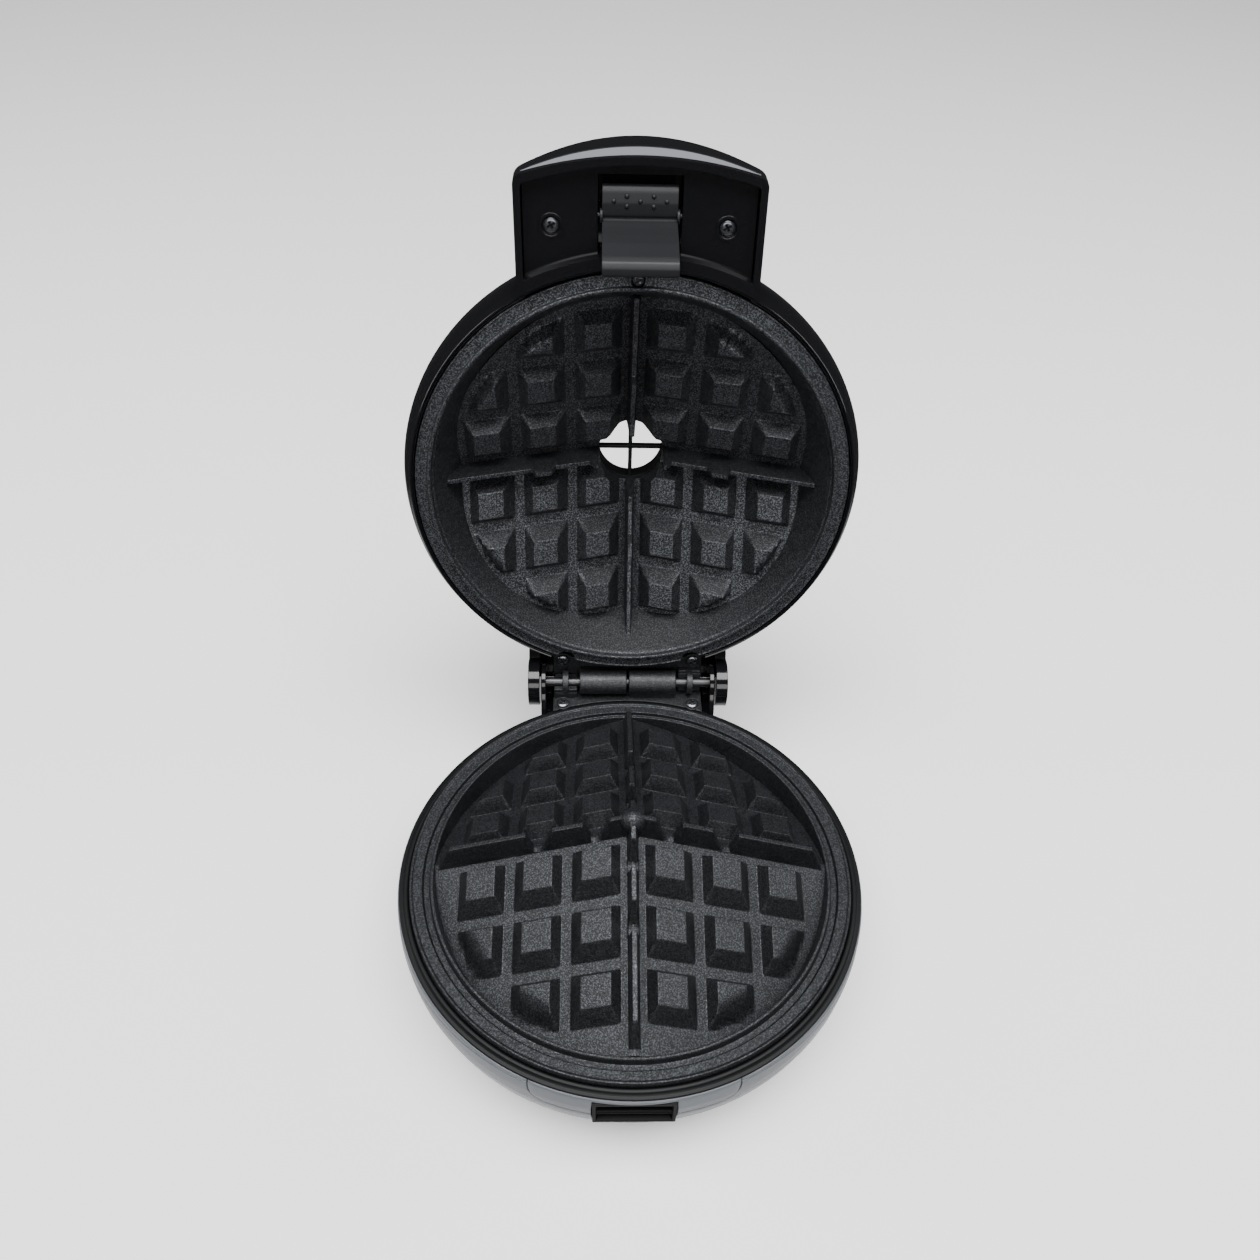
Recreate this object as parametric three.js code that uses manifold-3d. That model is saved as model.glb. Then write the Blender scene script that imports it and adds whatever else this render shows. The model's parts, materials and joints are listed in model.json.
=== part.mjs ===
// Round waffle maker with a hinged lid and a conical, four-quarter baking cavity.
// Millimetres, +Z up, the handle and its latch towards -Y when the lid is shut, the hinge towards +Y.
// Base pieces are drawn with z = 0 at the parting plane between the two baking plates.
// Lid pieces are drawn in the same frame with the lid shut, then turned open about the hinge axis.
import * as THREE from 'three';
import { mergeVertices } from 'three/addons/utils/BufferGeometryUtils.js';
import Module from 'manifold-3d';

const wasm = await Module();
wasm.setup();

// ---------- driving dimensions ----------
const GAP = 0.3;                 // gap left between touching pieces
const ROUND = 54;                // sides of a large round
const SMALL_ROUND = 16;          // sides of a small round

const RIM_HEIGHT = 60;           // parting plane above the table
const HINGE_Y = 114.7;           // hinge axis, parallel to X
const HINGE_Z = 6.5;
const OPEN_ANGLE = THREE.MathUtils.degToRad(100.2);

const SLOPE = 0.325;             // fall of each facet along X and along Y
const LOWER_APEX = 32;           // where the lower plate's four facets would meet
const UPPER_APEX = 58.6;
const PLATE_WALL = 3.5;          // casting thickness
const CAVITY_Y = 1.2;            // the cavity pattern sits this much nearer the hinge
const CELL_START = 5.65;         // first block's edge from the pattern's centre lines
const CELL_SIZE = 21.6;
const CELL_PITCH = 26.35;
const LOWER_BLOCK = { height: 8.7, top: 13.1, clipR: 86, clipZ: -4.4 };
const UPPER_BLOCK = { height: 8.2, top: 11.9, clipR: 83.5, clipZ: 22.2 };
const BLOCK_CLIP_DRAFT = 0.43;
const RIB_THICKNESS = 2.6;
const RIB_HEIGHT = 11.7;         // lower ribs above their facets' ridge
const UPPER_RIB_HEIGHT = 14.5;
const TAB_DEPTH = 5.5;           // tabs of the upper ribs that enter the lower ribs' notches
const BALL_RADIUS = 5.7;
const BALL_Z = 39.3;

const LIP_RADIUS = 92.6;         // edge of the lower cavity
const FLANGE_RADIUS = 104.3;
const UPPER_FLANGE_RADIUS = 102.1;
const COLLAR_RADIUS = 106.8;
const BASE_RADIUS = 109.9;
const LID_RADIUS = 108.4;
const HOLE_RADIUS = 16.2;        // filling hole
const TUBE_RADIUS = 17.8;
const ELEMENT_R = 58;            // heating element's loop
const ELEMENT_TUBE = 3.25;

const HANDLE_HALF = 50.8;
const HANDLE_CORNER_Y = -139;
const HANDLE_END_Y = -146.5;
const HANDLE_BOTTOM = 1;
const HANDLE_TOP = 26.5;         // at the crown of its arch
const HANDLE_FALL = 18;          // from the crown to the sides
const HANDLE_LEAN = 0.1;         // its end face leans out by this much of its height
const WALL = 2.4;

const PANEL_HALF = 45;           // front panel
const PANEL_BOTTOM = -17.5;
const NOTCH_HALF = 17.8;         // latch notch in the front of the base
const NOTCH_TOP = -5.6;
const NOTCH_BOTTOM = -25;
const LATCH_PIVOT = { y: -123, z: 6 };
const LATCH_HALF = 15.2;

const BARREL_RADIUS = 6.5;
const PIN_RADIUS = 2.6;
const PIN_CLEAR = 0.3;
const BRACKET_HALF = 40;
const BRACKET_DROP = 7.1;        // from the hinge axis to the bracket plate's near face
const CHEEK_INNER = 43.6;
const HOUSING_BACK = 123.7;
const CORD_Z = -36;
const PLATE_SCREW_Y = -98.8;
const SCREW = { x: 34.9, y: 105.4, radius: 3.4, hole: 2 };   // hinge screws

// ---------- materials ----------
const finish = (color, roughness, metalness) => ({ color, roughness, metalness });
const CASTING = finish(0x1b1c1f, 0.6, 0.3);
const GREY_GLOSS = finish(0x6d7177, 0.25, 0.1);
const BLACK_GLOSS = finish(0x0b0b0c, 0.15, 0);
const BLACK_SATIN = finish(0x17181a, 0.45, 0);
const SILVER = finish(0x9a9da3, 0.3, 0.7);
const STEEL = finish(0x8c8f94, 0.35, 0.9);
const DARK_STEEL = finish(0x2b2c2f, 0.35, 0.8);
const BARE_ALUMINIUM = finish(0xb9bcc0, 0.4, 0.9);
const RUBBER = finish(0x1a1a1a, 0.9, 0);
const CERAMIC = finish(0xd8d3c6, 0.7, 0);
const RED_LENS = finish(0xb01010, 0.2, 0);
const GREEN_LENS = finish(0x168a2e, 0.2, 0);

// ---------- solids ----------
/** A closed three.js geometry as a manifold solid, turned the right way out if it is not. */
function solid(geometry) {
  const bare = geometry.clone();
  bare.deleteAttribute('normal');
  bare.deleteAttribute('uv');
  const merged = mergeVertices(bare, 1e-4);
  const points = merged.attributes.position.array;
  const index = merged.index.array;
  const triangles = [];
  let volume = 0;
  for (let i = 0; i < index.length; i += 3) {
    const [a, b, c] = [index[i], index[i + 1], index[i + 2]];
    if (a === b || b === c || a === c) continue;
    triangles.push(a, b, c);
    const [pa, pb, pc] = [a, b, c].map((n) => new THREE.Vector3().fromArray(points, 3 * n));
    volume += pa.dot(pb.cross(pc));
  }
  if (volume < 0) triangles.reverse();
  return new wasm.Manifold(new wasm.Mesh({
    numProp: 3, vertProperties: new Float32Array(points), triVerts: new Uint32Array(triangles),
  }));
}

const join = (...parts) => parts.reduce((whole, part) => whole.add(part));
const cut = (whole, ...tools) => tools.reduce((rest, tool) => rest.subtract(tool), whole);
const keep = (whole, ...limits) => limits.reduce((rest, limit) => rest.intersect(limit), whole);

/** A closed profile of [radius, z] points turned about Z. */
function turned(profile, sides = ROUND) {
  const points = profile.map(([r, z]) => new THREE.Vector2(r, z));
  if (profile[0][0] > 0) points.push(points[0].clone());
  return solid(new THREE.LatheGeometry(points, sides).rotateX(Math.PI / 2));
}

function box(x0, x1, y0, y1, z0, z1) {
  const geometry = new THREE.BoxGeometry(x1 - x0, y1 - y0, z1 - z0);
  return solid(geometry.translate((x0 + x1) / 2, (y0 + y1) / 2, (z0 + z1) / 2));
}

function rod(radius, z0, z1, x = 0, y = 0, sides = SMALL_ROUND, topRadius = radius) {
  const geometry = new THREE.CylinderGeometry(topRadius, radius, z1 - z0, sides).rotateX(Math.PI / 2);
  return solid(geometry.translate(x, y, (z0 + z1) / 2));
}

function rodAlongX(radius, x0, x1, y, z, sides = 24) {
  const geometry = new THREE.CylinderGeometry(radius, radius, x1 - x0, sides).rotateZ(Math.PI / 2);
  return solid(geometry.translate((x0 + x1) / 2, y, z));
}

function shapeOf(points) {
  return new THREE.Shape(points.map(([a, b]) => new THREE.Vector2(a, b)));
}

/** An outline in X and Y, raised from z0 to z1. */
function raised(shape, z0, z1) {
  const options = { depth: z1 - z0, bevelEnabled: false, curveSegments: 12 };
  return solid(new THREE.ExtrudeGeometry(shape, options).translate(0, 0, z0));
}

/** A profile in Y and Z, run from x0 to x1. */
function alongX(points, x0, x1) {
  const geometry = new THREE.ExtrudeGeometry(shapeOf(points), { depth: x1 - x0, bevelEnabled: false });
  const axes = new THREE.Matrix4().makeBasis(
    new THREE.Vector3(0, 1, 0), new THREE.Vector3(0, 0, 1), new THREE.Vector3(1, 0, 0));
  return solid(geometry.applyMatrix4(axes).translate(x0, 0, 0));
}

/** A profile in distance-from-centre and Z, given the ribs' thickness, for the rib of one quarter turn. */
function ribPiece(points, quarter) {
  const options = { depth: RIB_THICKNESS, bevelEnabled: false };
  const geometry = new THREE.ExtrudeGeometry(shapeOf(points), options);
  geometry.translate(0, 0, -RIB_THICKNESS / 2).rotateX(Math.PI / 2).rotateZ(quarter * Math.PI / 2);
  return solid(geometry.translate(0, CAVITY_Y, 0));
}

function tube(curve, radius, steps, sides = 8) {
  const section = new THREE.Shape();
  section.absarc(0, 0, radius, 0, 2 * Math.PI);
  const options = { steps, extrudePath: curve, curveSegments: sides / 2, bevelEnabled: false };
  return solid(new THREE.ExtrudeGeometry(section, options));
}

// ---------- the baking plates' common shapes ----------
/** The four facets as one solid, from their apex down to a level. */
function pyramid(apex, bottom) {
  const height = apex - bottom;
  const geometry = new THREE.ConeGeometry(height / SLOPE, height, 4).rotateX(Math.PI / 2);
  return solid(geometry.translate(0, CAVITY_Y, (apex + bottom) / 2));
}

/** One block: a draughted cell from its facet to a face parallel to it. */
function block(column, row, signX, signY, apex, spec, direction) {
  const centreX = CELL_START + CELL_SIZE / 2 + column * CELL_PITCH;
  const centreY = CELL_START + CELL_SIZE / 2 + row * CELL_PITCH;
  const geometry = new THREE.BoxGeometry(1, 1, 1);
  const position = geometry.attributes.position;
  for (let i = 0; i < position.count; i += 1) {
    const outer = position.getZ(i) > 0;
    const size = outer ? spec.top : CELL_SIZE;
    const x = centreX + Math.sign(position.getX(i)) * size / 2;
    const y = centreY + Math.sign(position.getY(i)) * size / 2;
    const rise = outer ? spec.height : -1;
    const z = apex - SLOPE * (x + y) + direction * rise;
    position.setXYZ(i, signX * x, signY * y + CAVITY_Y, z);
  }
  const whole = solid(geometry);
  if (column + row < 3) return whole;
  const reach = 14;
  const widening = direction * BLOCK_CLIP_DRAFT * reach;
  return keep(whole, rod(spec.clipR + widening, spec.clipZ - reach, spec.clipZ + reach, 0, CAVITY_Y,
    ROUND, spec.clipR - widening));
}

function blocks(apex, spec, direction) {
  const all = [];
  for (const signX of [-1, 1]) {
    for (const signY of [-1, 1]) {
      for (let column = 0; column < 3; column += 1) {
        for (let row = 0; row < 3; row += 1) {
          if (column + row < 4) all.push(block(column, row, signX, signY, apex, spec, direction));
        }
      }
    }
  }
  return join(...all);
}

const ridge = (apex, distance) => apex - SLOPE * distance;

// Notches of the lower ribs: [top inner, top outer, bottom inner, bottom outer] from the centre.
const INNER_NOTCH = [10.4, 22.6, 14.2, 18.9];
const OUTER_NOTCH = [36.5, 48.9, 40.7, 45.4];
const RIB_END = { top: 84.5, bottom: 90.3 };

function lowerRibs() {
  const tooth = (bottomIn, topIn, topOut, bottomOut) => [
    [bottomIn, ridge(LOWER_APEX, bottomIn) - 1], [bottomOut, ridge(LOWER_APEX, bottomOut) - 1],
    [topOut, ridge(LOWER_APEX, topOut) + RIB_HEIGHT], [topIn, ridge(LOWER_APEX, topIn) + RIB_HEIGHT]];
  const pieces = [];
  for (let quarter = 0; quarter < 4; quarter += 1) {
    pieces.push(ribPiece(tooth(0, 0, INNER_NOTCH[0], INNER_NOTCH[2]), quarter));
    pieces.push(ribPiece(tooth(INNER_NOTCH[3], INNER_NOTCH[1], OUTER_NOTCH[0], OUTER_NOTCH[2]), quarter));
    pieces.push(ribPiece(tooth(OUTER_NOTCH[3], OUTER_NOTCH[1], RIB_END.top, RIB_END.bottom), quarter));
  }
  return join(...pieces);
}

function upperRibs() {
  const edge = (distance, extra = 0) => [distance, ridge(UPPER_APEX, distance) - UPPER_RIB_HEIGHT - extra];
  const reach = 92;
  const inset = 1;
  const profile = [
    [12, ridge(UPPER_APEX, 12) + 1], edge(12), edge(15, TAB_DEPTH), edge(19.4, TAB_DEPTH),
    edge(INNER_NOTCH[1] - inset), edge(OUTER_NOTCH[0] + inset), edge(39.4, TAB_DEPTH),
    edge(46.4, TAB_DEPTH), edge(OUTER_NOTCH[1] - inset), edge(reach), [reach, ridge(UPPER_APEX, reach) + 1]];
  return join(...[0, 1, 2, 3].map((quarter) => ribPiece(profile, quarter)));
}

// ---------- base ----------
function lowerPlate() {
  const slab = keep(cut(pyramid(LOWER_APEX, -30), pyramid(LOWER_APEX - PLATE_WALL, -36)),
    rod(LIP_RADIUS + 0.6, -30, 40, 0, 0, ROUND));
  const rim = turned([
    [89.9, -13.4], [LIP_RADIUS - 0.1, 1.6], [LIP_RADIUS + 0.2, 2.9], [93.7, 2.9], [94.2, 2], [94.5, -0.8],
    [97.6, -0.8], [98, 0.9], [102, 0.9], [102.7, 1.6], [103.4, 1.2], [FLANGE_RADIUS, -0.8],
    [FLANGE_RADIUS, -5.5], [101.8, -5.5], [101.8, -3], [96, -4], [95, -13.4]]);
  const boss = keep(turned([[53, -1], [63, -1], [63, 16], [53, 16]]), pyramid(LOWER_APEX - 1, -20));
  const post = join(rod(4.2, 25, BALL_Z, 0, CAVITY_Y),
    solid(new THREE.SphereGeometry(BALL_RADIUS, 16, 10).translate(0, CAVITY_Y, BALL_Z)));
  return join(slab, rim, boss, blocks(LOWER_APEX, LOWER_BLOCK, 1), lowerRibs(), post);
}

/** A tubular element: most of a circle, with both ends turned away from the plate. */
function heatingElement(level, away) {
  const openHalf = 0.2;
  const points = [];
  const ends = new THREE.CurvePath();
  const arcSteps = 30;
  for (let i = 0; i <= arcSteps; i += 1) {
    const angle = Math.PI / 2 + openHalf + (2 * Math.PI - 2 * openHalf) * i / arcSteps;
    points.push(new THREE.Vector3(ELEMENT_R * Math.cos(angle), ELEMENT_R * Math.sin(angle), level));
  }
  const lead = (end) => end.clone().add(new THREE.Vector3(0, 7, 9 * away));
  const path = [lead(points[0]), ...points, lead(points[points.length - 1])];
  ends.add(new THREE.CatmullRomCurve3(path));
  return tube(ends.curves[0], ELEMENT_TUBE, 44);
}

const BODY_OUTER = [[109.9, -3.4], [110.6, -12], [110.2, -20], [108.4, -29], [104.6, -38], [100.2, -46],
  [96.2, -52.4], [94, -55]];

/** The bowl's outline moved in by a wall, as a filled solid up to a level. */
function bowl(inset, top, bottom) {
  const side = BODY_OUTER.map(([r, z]) => [r - inset, z]);
  side[0] = [side[0][0], top];
  side[side.length - 1] = [side[side.length - 1][0], bottom];
  return turned([[0, top], ...side, [0, bottom]]);
}

function hingeScrewHoles(z0, z1) {
  return [-1, 1].map((side) => rod(SCREW.hole, z0, z1, side * SCREW.x, SCREW.y, 12));
}

/** What the front panel covers, between its two ends and above its lower edge. */
function panelZone(margin) {
  const half = PANEL_HALF + margin;
  return box(-half, half, -125, -85, PANEL_BOTTOM - margin, 6);
}

function baseBody() {
  const notch = box(-NOTCH_HALF - GAP, NOTCH_HALF + GAP, -125, -80, NOTCH_BOTTOM - GAP, 5);
  const cordHole = rodAlongY(6.3, 88, 115, CORD_Z);
  const collarSeat = rod(COLLAR_RADIUS + GAP, -6 - GAP, 5, 0, 0, ROUND);
  return cut(bowl(0, -3.4, -55), bowl(WALL, 5, -60), notch, panelZone(GAP), cordHole, collarSeat,
    ...hingeScrewHoles(-12, 0));
}

function baseBezel() {
  const ring = turned([[COLLAR_RADIUS + GAP, -3], [COLLAR_RADIUS + GAP, -0.6], [107.8, -0.2], [109, -0.4],
    [109.8, -1.4], [109.9, -3]]);
  const band = turned([[107.4, PANEL_BOTTOM], [107.4, -0.6], [109, -0.4], [109.8, -1.4], [109.9, -3.4],
    [110.6, -12], [110.5, PANEL_BOTTOM]]);
  const notch = box(-NOTCH_HALF - GAP, NOTCH_HALF + GAP, -120, -80, -30, NOTCH_TOP + GAP);
  const back = box(-CHEEK_INNER - 3.2, CHEEK_INNER + 3.2, 80, 120, -10, 5);
  return cut(join(ring, keep(band, panelZone(0))), notch, back, panelCorner(-1), panelCorner(1));
}

/** The rounded lower corner of the front panel, as the material to take away. */
function panelCorner(side) {
  const radius = 9;
  const shape = new THREE.Shape();
  shape.moveTo(0, 0);
  shape.lineTo(radius + 2, 0);
  shape.lineTo(radius + 2, radius);
  shape.lineTo(radius, radius);
  shape.absarc(0, radius, radius, 0, -Math.PI / 2, true);
  const options = { depth: 40, bevelEnabled: false, curveSegments: 6 };
  const geometry = new THREE.ExtrudeGeometry(shape, options).rotateX(Math.PI / 2);
  if (side < 0) geometry.rotateZ(Math.PI).translate(0, -200, 0);
  return solid(geometry.translate(side * (PANEL_HALF - radius), -80, PANEL_BOTTOM));
}

function baseCollar() {
  return turned([[FLANGE_RADIUS + GAP, -6], [FLANGE_RADIUS + GAP, -2.6], [105.4, -2.2], [106.4, -2.3],
    [COLLAR_RADIUS, -2.8], [COLLAR_RADIUS, -6]]);
}

/** The notch's lining, with the ledge that the latch's hook goes under. */
function latchCatch() {
  const outer = box(-NOTCH_HALF, NOTCH_HALF, -110.4, -100, NOTCH_BOTTOM, NOTCH_TOP);
  const pocket = box(-NOTCH_HALF + 1.6, NOTCH_HALF - 1.6, -115, -103, NOTCH_BOTTOM + 1.4, NOTCH_TOP - 1.4);
  const ledge = box(-NOTCH_HALF + 1, NOTCH_HALF - 1, -109.3, -102, -17.6, -15);
  const collarRoom = rod(COLLAR_RADIUS + GAP, -6 - GAP, 0, 0, 0, ROUND);
  return cut(keep(join(cut(outer, pocket), ledge), rod(109.8, -30, 0, 0, 0, ROUND)), collarRoom);
}

/** One hinge casting: a plate, a long barrel on one side and a half knuckle with its web on the other. */
function hingeBracket(side) {
  const z = HINGE_Z;
  const near = z - BRACKET_DROP;
  const plate = cut(box(-BRACKET_HALF, BRACKET_HALF, 96, HINGE_Y + 3.5, near - 2.5, near),
    rod(COLLAR_RADIUS + 0.6, near - 5, near + 5, 0, 0, ROUND));
  const barrelX = side > 0 ? [0.6, 25.8] : [-25.8, -0.6];
  const knuckleX = side > 0 ? [-39.4, -27.2] : [27.2, 39.4];
  const middle = (knuckleX[0] + knuckleX[1]) / 2;
  const barrel = join(rodAlongX(BARREL_RADIUS, ...barrelX, HINGE_Y, z),
    box(...barrelX, HINGE_Y - 4.8, HINGE_Y + 3.5, near - 1, z));
  const knuckle = join(box(...knuckleX, HINGE_Y - 5.3, HINGE_Y + 3.5, near - 1, z - 0.4),
    rodAlongX(BARREL_RADIUS - 0.2, middle - 1.6, middle + 1.6, HINGE_Y, z));
  const whole = join(plate, barrel, knuckle);
  const screwHoles = [-1, 1].map((end) => rod(2.3, near - 6, near + 6, end * SCREW.x, SCREW.y, 12));
  return cut(whole, rodAlongX(PIN_RADIUS + PIN_CLEAR, -60, 60, HINGE_Y, z), ...screwHoles);
}

/** The black housing behind the base: cheeks round the hinge axis and a hollow stand down to the feet. */
function hingeHousing() {
  const thickness = 2.6;
  const cheek = (side) => {
    const x0 = side > 0 ? CHEEK_INNER : -CHEEK_INNER - thickness;
    return join(rodAlongX(10.2, x0, x0 + thickness, HINGE_Y, HINGE_Z),
      box(x0, x0 + thickness, 98, HOUSING_BACK, -9, HINGE_Z - 4));
  };
  const x = CHEEK_INNER + thickness;
  const stand = cut(box(-x, x, 88, HOUSING_BACK, -57.3, -7),
    box(thickness - x, x - thickness, 70, HOUSING_BACK - thickness, -57.3 + thickness, -7 - thickness));
  const pinHole = rodAlongX(PIN_RADIUS + PIN_CLEAR, -60, 60, HINGE_Y, HINGE_Z);
  const rimRoom = rod(BASE_RADIUS + GAP, -3 - GAP, 30, 0, 0, ROUND);
  const bodyRoom = join(bowl(-GAP, -3.4, -55), rod(BODY_OUTER[0][0] + GAP, -3.5, 0, 0, 0, ROUND),
    rod(94.4, -60, -54, 0, 0, ROUND));
  const cordHole = rodAlongY(6.3, 115, 130, CORD_Z);
  return cut(join(cheek(-1), cheek(1), stand), pinHole, rimRoom, bodyRoom, cordHole,
    ...hingeScrewHoles(-12, 0));
}

function rodAlongY(radius, y0, y1, z) {
  return rod(radius, y0, y1).rotate([-90, 0, 0]).translate([0, 0, z]);
}

/** The rubber bush in the back of the stand, where a mains lead would leave. */
function cordGland() {
  const inner = HOUSING_BACK - 2.6 - GAP;
  const outer = HOUSING_BACK + GAP;
  const profile = [[3.6, inner - 3], [8.2, inner - 3], [8.2, inner], [6, inner], [6, outer], [8.2, outer],
    [8.2, outer + 3], [5.2, outer + 10], [3.6, outer + 10]];
  return turned(profile, SMALL_ROUND).rotate([-90, 0, 0]).translate([0, 0, CORD_Z]);
}

function screw(radius, headZ, length, drop) {
  const head = turned([[0, 0], [radius * 0.7, 0], [radius, -0.8], [radius, -1.6], [radius * 0.45, -2.4],
    [radius * 0.45, -length], [0, -length]], SMALL_ROUND);
  const slot = (turn) => box(-radius * 0.5, radius * 0.5, -0.35, 0.35, -1, 1).rotate([0, 0, turn]);
  const piece = cut(head, slot(45), slot(135));
  return (drop ? piece.rotate([180, 0, 0]) : piece).translate([0, 0, headZ]);
}

// ---------- lid, drawn shut ----------
function upperPlate() {
  const wallCone = (radius, z0, z1) => {
    const lean = 0.41;
    return rod(radius - lean * (z0 - 4), z0, z1, 0, 0, ROUND, radius - lean * (z1 - 4));
  };
  const inner = wallCone(94.2, -10, 62);
  const outer = wallCone(97.4, -10, 66);
  const slab = keep(cut(pyramid(UPPER_APEX + PLATE_WALL, -10), pyramid(UPPER_APEX, -12)), outer);
  const wall = keep(cut(outer, inner), pyramid(UPPER_APEX + PLATE_WALL, -10), rod(120, 3.6, 70, 0, 0, 8));
  const edge = UPPER_FLANGE_RADIUS;
  const ring = turned([[94.6, 1.9], [96.2, 1.9], [96.6, 3.7], [edge - 0.6, 3.7], [edge, 4.3], [edge, 7.2],
    [95.6, 7.2], [94.2, 4.6]]);
  const screwBoss = rod(4.1, 3.2, 7.2, 0, PLATE_SCREW_Y, 24);
  const notches = [-1, 1].map((side) => rod(5.4, 0, 12, side * 33.2, 98, 24));
  const flange = cut(join(ring, screwBoss), ...notches);
  const boss = cut(turned([[53, 30], [63, 30], [63, 45.5], [53, 45.5]]), pyramid(UPPER_APEX + 1, -10));
  const inside = join(blocks(UPPER_APEX, UPPER_BLOCK, -1), upperRibs());
  const whole = join(slab, wall, flange, boss, keep(inside, wallCone(94.6, -10, 62)));
  return cut(whole, rod(HOLE_RADIUS, 20, 80, 0, CAVITY_Y, 40), rod(1.6, -1, 12, 0, PLATE_SCREW_Y, 12),
    rod(2.9, -1, 5.9, 0, PLATE_SCREW_Y, 16));
}

/** The filling tube on top of the upper plate, with the cross that spans it. */
function fillerTube() {
  const ring = turned([[HOLE_RADIUS, 57.5], [TUBE_RADIUS, 57.5], [TUBE_RADIUS, 65.6], [HOLE_RADIUS, 65.6]], 40);
  const reach = HOLE_RADIUS + 0.5;
  const bar = box(-reach, reach, -1.1, 1.1, 57.5, 60);
  return join(ring, bar, bar.rotate([0, 0, 90])).translate([0, CAVITY_Y, 0]);
}

const LID_EDGE_Z = 3.2;
const LID_OUTER = [[104.3, LID_EDGE_Z], [105, 4.8], [107.2, 9], [LID_RADIUS, 14.5], [108, 21], [106, 28],
  [102.4, 35.5], [96.6, 44.8], [87, 54], [72, 61.5], [54, 66], [36, 68], [29, 68]];

function lidBell(inset, bottom, dish) {
  const side = LID_OUTER.map(([r, z]) => [r - inset, z - inset]);
  side[0] = [side[0][0], bottom];
  if (inset > 0) side[1] = [side[1][0], bottom + 1];
  return turned([[0, bottom], ...side, [0, dish - inset]]);
}

/** The handle's outline, moved in by a distance and closed across the lid. */
function handleShape(inset, root) {
  const half = HANDLE_HALF - inset;
  const cornerY = HANDLE_CORNER_Y + inset;
  const endY = HANDLE_END_Y + inset;
  const corner = Math.max(4 - inset, 1);
  const shape = new THREE.Shape();
  shape.moveTo(-half, root);
  shape.lineTo(-half, cornerY + corner);
  shape.quadraticCurveTo(-half, cornerY, -half + corner, cornerY - 1);
  shape.quadraticCurveTo(0, 2 * endY - cornerY + 1, half - corner, cornerY - 1);
  shape.quadraticCurveTo(half, cornerY, half, cornerY + corner);
  shape.lineTo(half, root);
  return shape;
}

/** A part of the handle with its end face leaning out. */
const leaning = (part) => part.transform(
  [1, 0, 0, 0, 0, 1, 0, 0, 0, -HANDLE_LEAN, 1, 0, 0, HANDLE_LEAN * HANDLE_BOTTOM, 0, 1]);

/** Everything under an arch that spans the handle. */
function underArch(crown, fall) {
  const reach = HANDLE_HALF + 2;
  const profile = [[reach, -20], [-reach, -20]];
  for (let i = -8; i <= 8; i += 1) {
    const x = i * reach / 8;
    profile.push([x, crown - fall * (x / HANDLE_HALF) ** 2]);
  }
  return alongX(profile, -170, -60).rotate([0, 0, 90]);
}

function lidCheek(side) {
  const x0 = side > 0 ? CHEEK_INNER + 3.3 : -CHEEK_INNER - 9.4;
  const x1 = x0 + 6.1;
  return join(rodAlongX(12.6, x0, x1, HINGE_Y, HINGE_Z),
    box(x0, x1, 88, HINGE_Y + 5, HINGE_Z, 32));
}

function lidShell() {
  const bell = lidBell(0, LID_EDGE_Z, 66.5);
  const handle = keep(leaning(raised(handleShape(0, -80), HANDLE_BOTTOM, HANDLE_TOP)),
    underArch(HANDLE_TOP, HANDLE_FALL));
  const hood = box(-CHEEK_INNER - 5, CHEEK_INNER + 5, 96, HINGE_Y + 6, 17.4, 31);
  const outside = join(bell, handle, lidCheek(-1), lidCheek(1), hood);
  const hollowBell = lidBell(WALL, -5, 62.6);
  const rimRoom = rod(UPPER_FLANGE_RADIUS + 0.4, -5, 7.8, 0, 0, ROUND);
  const hollowHandle = keep(leaning(raised(handleShape(WALL + 0.6, -80), -5, HANDLE_TOP - WALL)),
    underArch(HANDLE_TOP - WALL, HANDLE_FALL));
  const rearGap = join(box(-CHEEK_INNER - 3, CHEEK_INNER + 3, 96.5, 140, -10, 17.1),
    box(-BRACKET_HALF - 0.6, BRACKET_HALF + 0.6, 84, 140, -10, 17.1));
  const fillHole = rod(TUBE_RADIUS + GAP, 50, 80, 0, CAVITY_Y, 40);
  const dish = turned([[0, 64.4], [19, 64.4], [29.5, 70], [0, 70]], 40).translate([0, CAVITY_Y, 0]);
  const groove = trimBand(0);
  const lamps = LAMPS.map(([x, y]) => rod(2.9, 50, 80, x, y));
  return cut(outside, hollowBell, rimRoom, hollowHandle, rearGap, fillHole, dish, groove, ...lamps,
    ...hingeScrewHoles(14, 24));
}

const LAMPS = [[-12, -66], [12, -66]];

/** The bright strip let into the handle's end face, widest in the middle. */
function trimBand(shrink) {
  const outer = leaning(raised(handleShape(-0.5 + 0.5 * (shrink > 0), -120), 3.2 + shrink, 14));
  const inner = leaning(raised(handleShape(1.2 - shrink, -120), 0, 20));
  return keep(cut(outer, inner), underArch(13.8 - shrink, 10.2),
    box(-47.5 + shrink, 47.5 - shrink, -160, -134, 2, 20));
}

function handleCover() {
  const inset = WALL + 0.6 + GAP;
  const sheet = raised(handleShape(inset, -80), 5.4, 7.4);
  const pocket = box(-18.8, 18.8, -140.4, -106, 5.4, 19);
  const room = box(-16.9, 16.9, -138.4, -104, 0, 17.4);
  const plateRoom = rod(103.6, 0, 30, 0, 0, ROUND);
  const pinHole = rodAlongX(1.5, -30, 30, LATCH_PIVOT.y, LATCH_PIVOT.z + 3, 12);
  const screwHoles = [-1, 1].map((side) => rod(3.6, 0, 20, side * 36, -119.5));
  return cut(join(sheet, pocket), room, plateRoom, pinHole, ...screwHoles);
}

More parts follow.
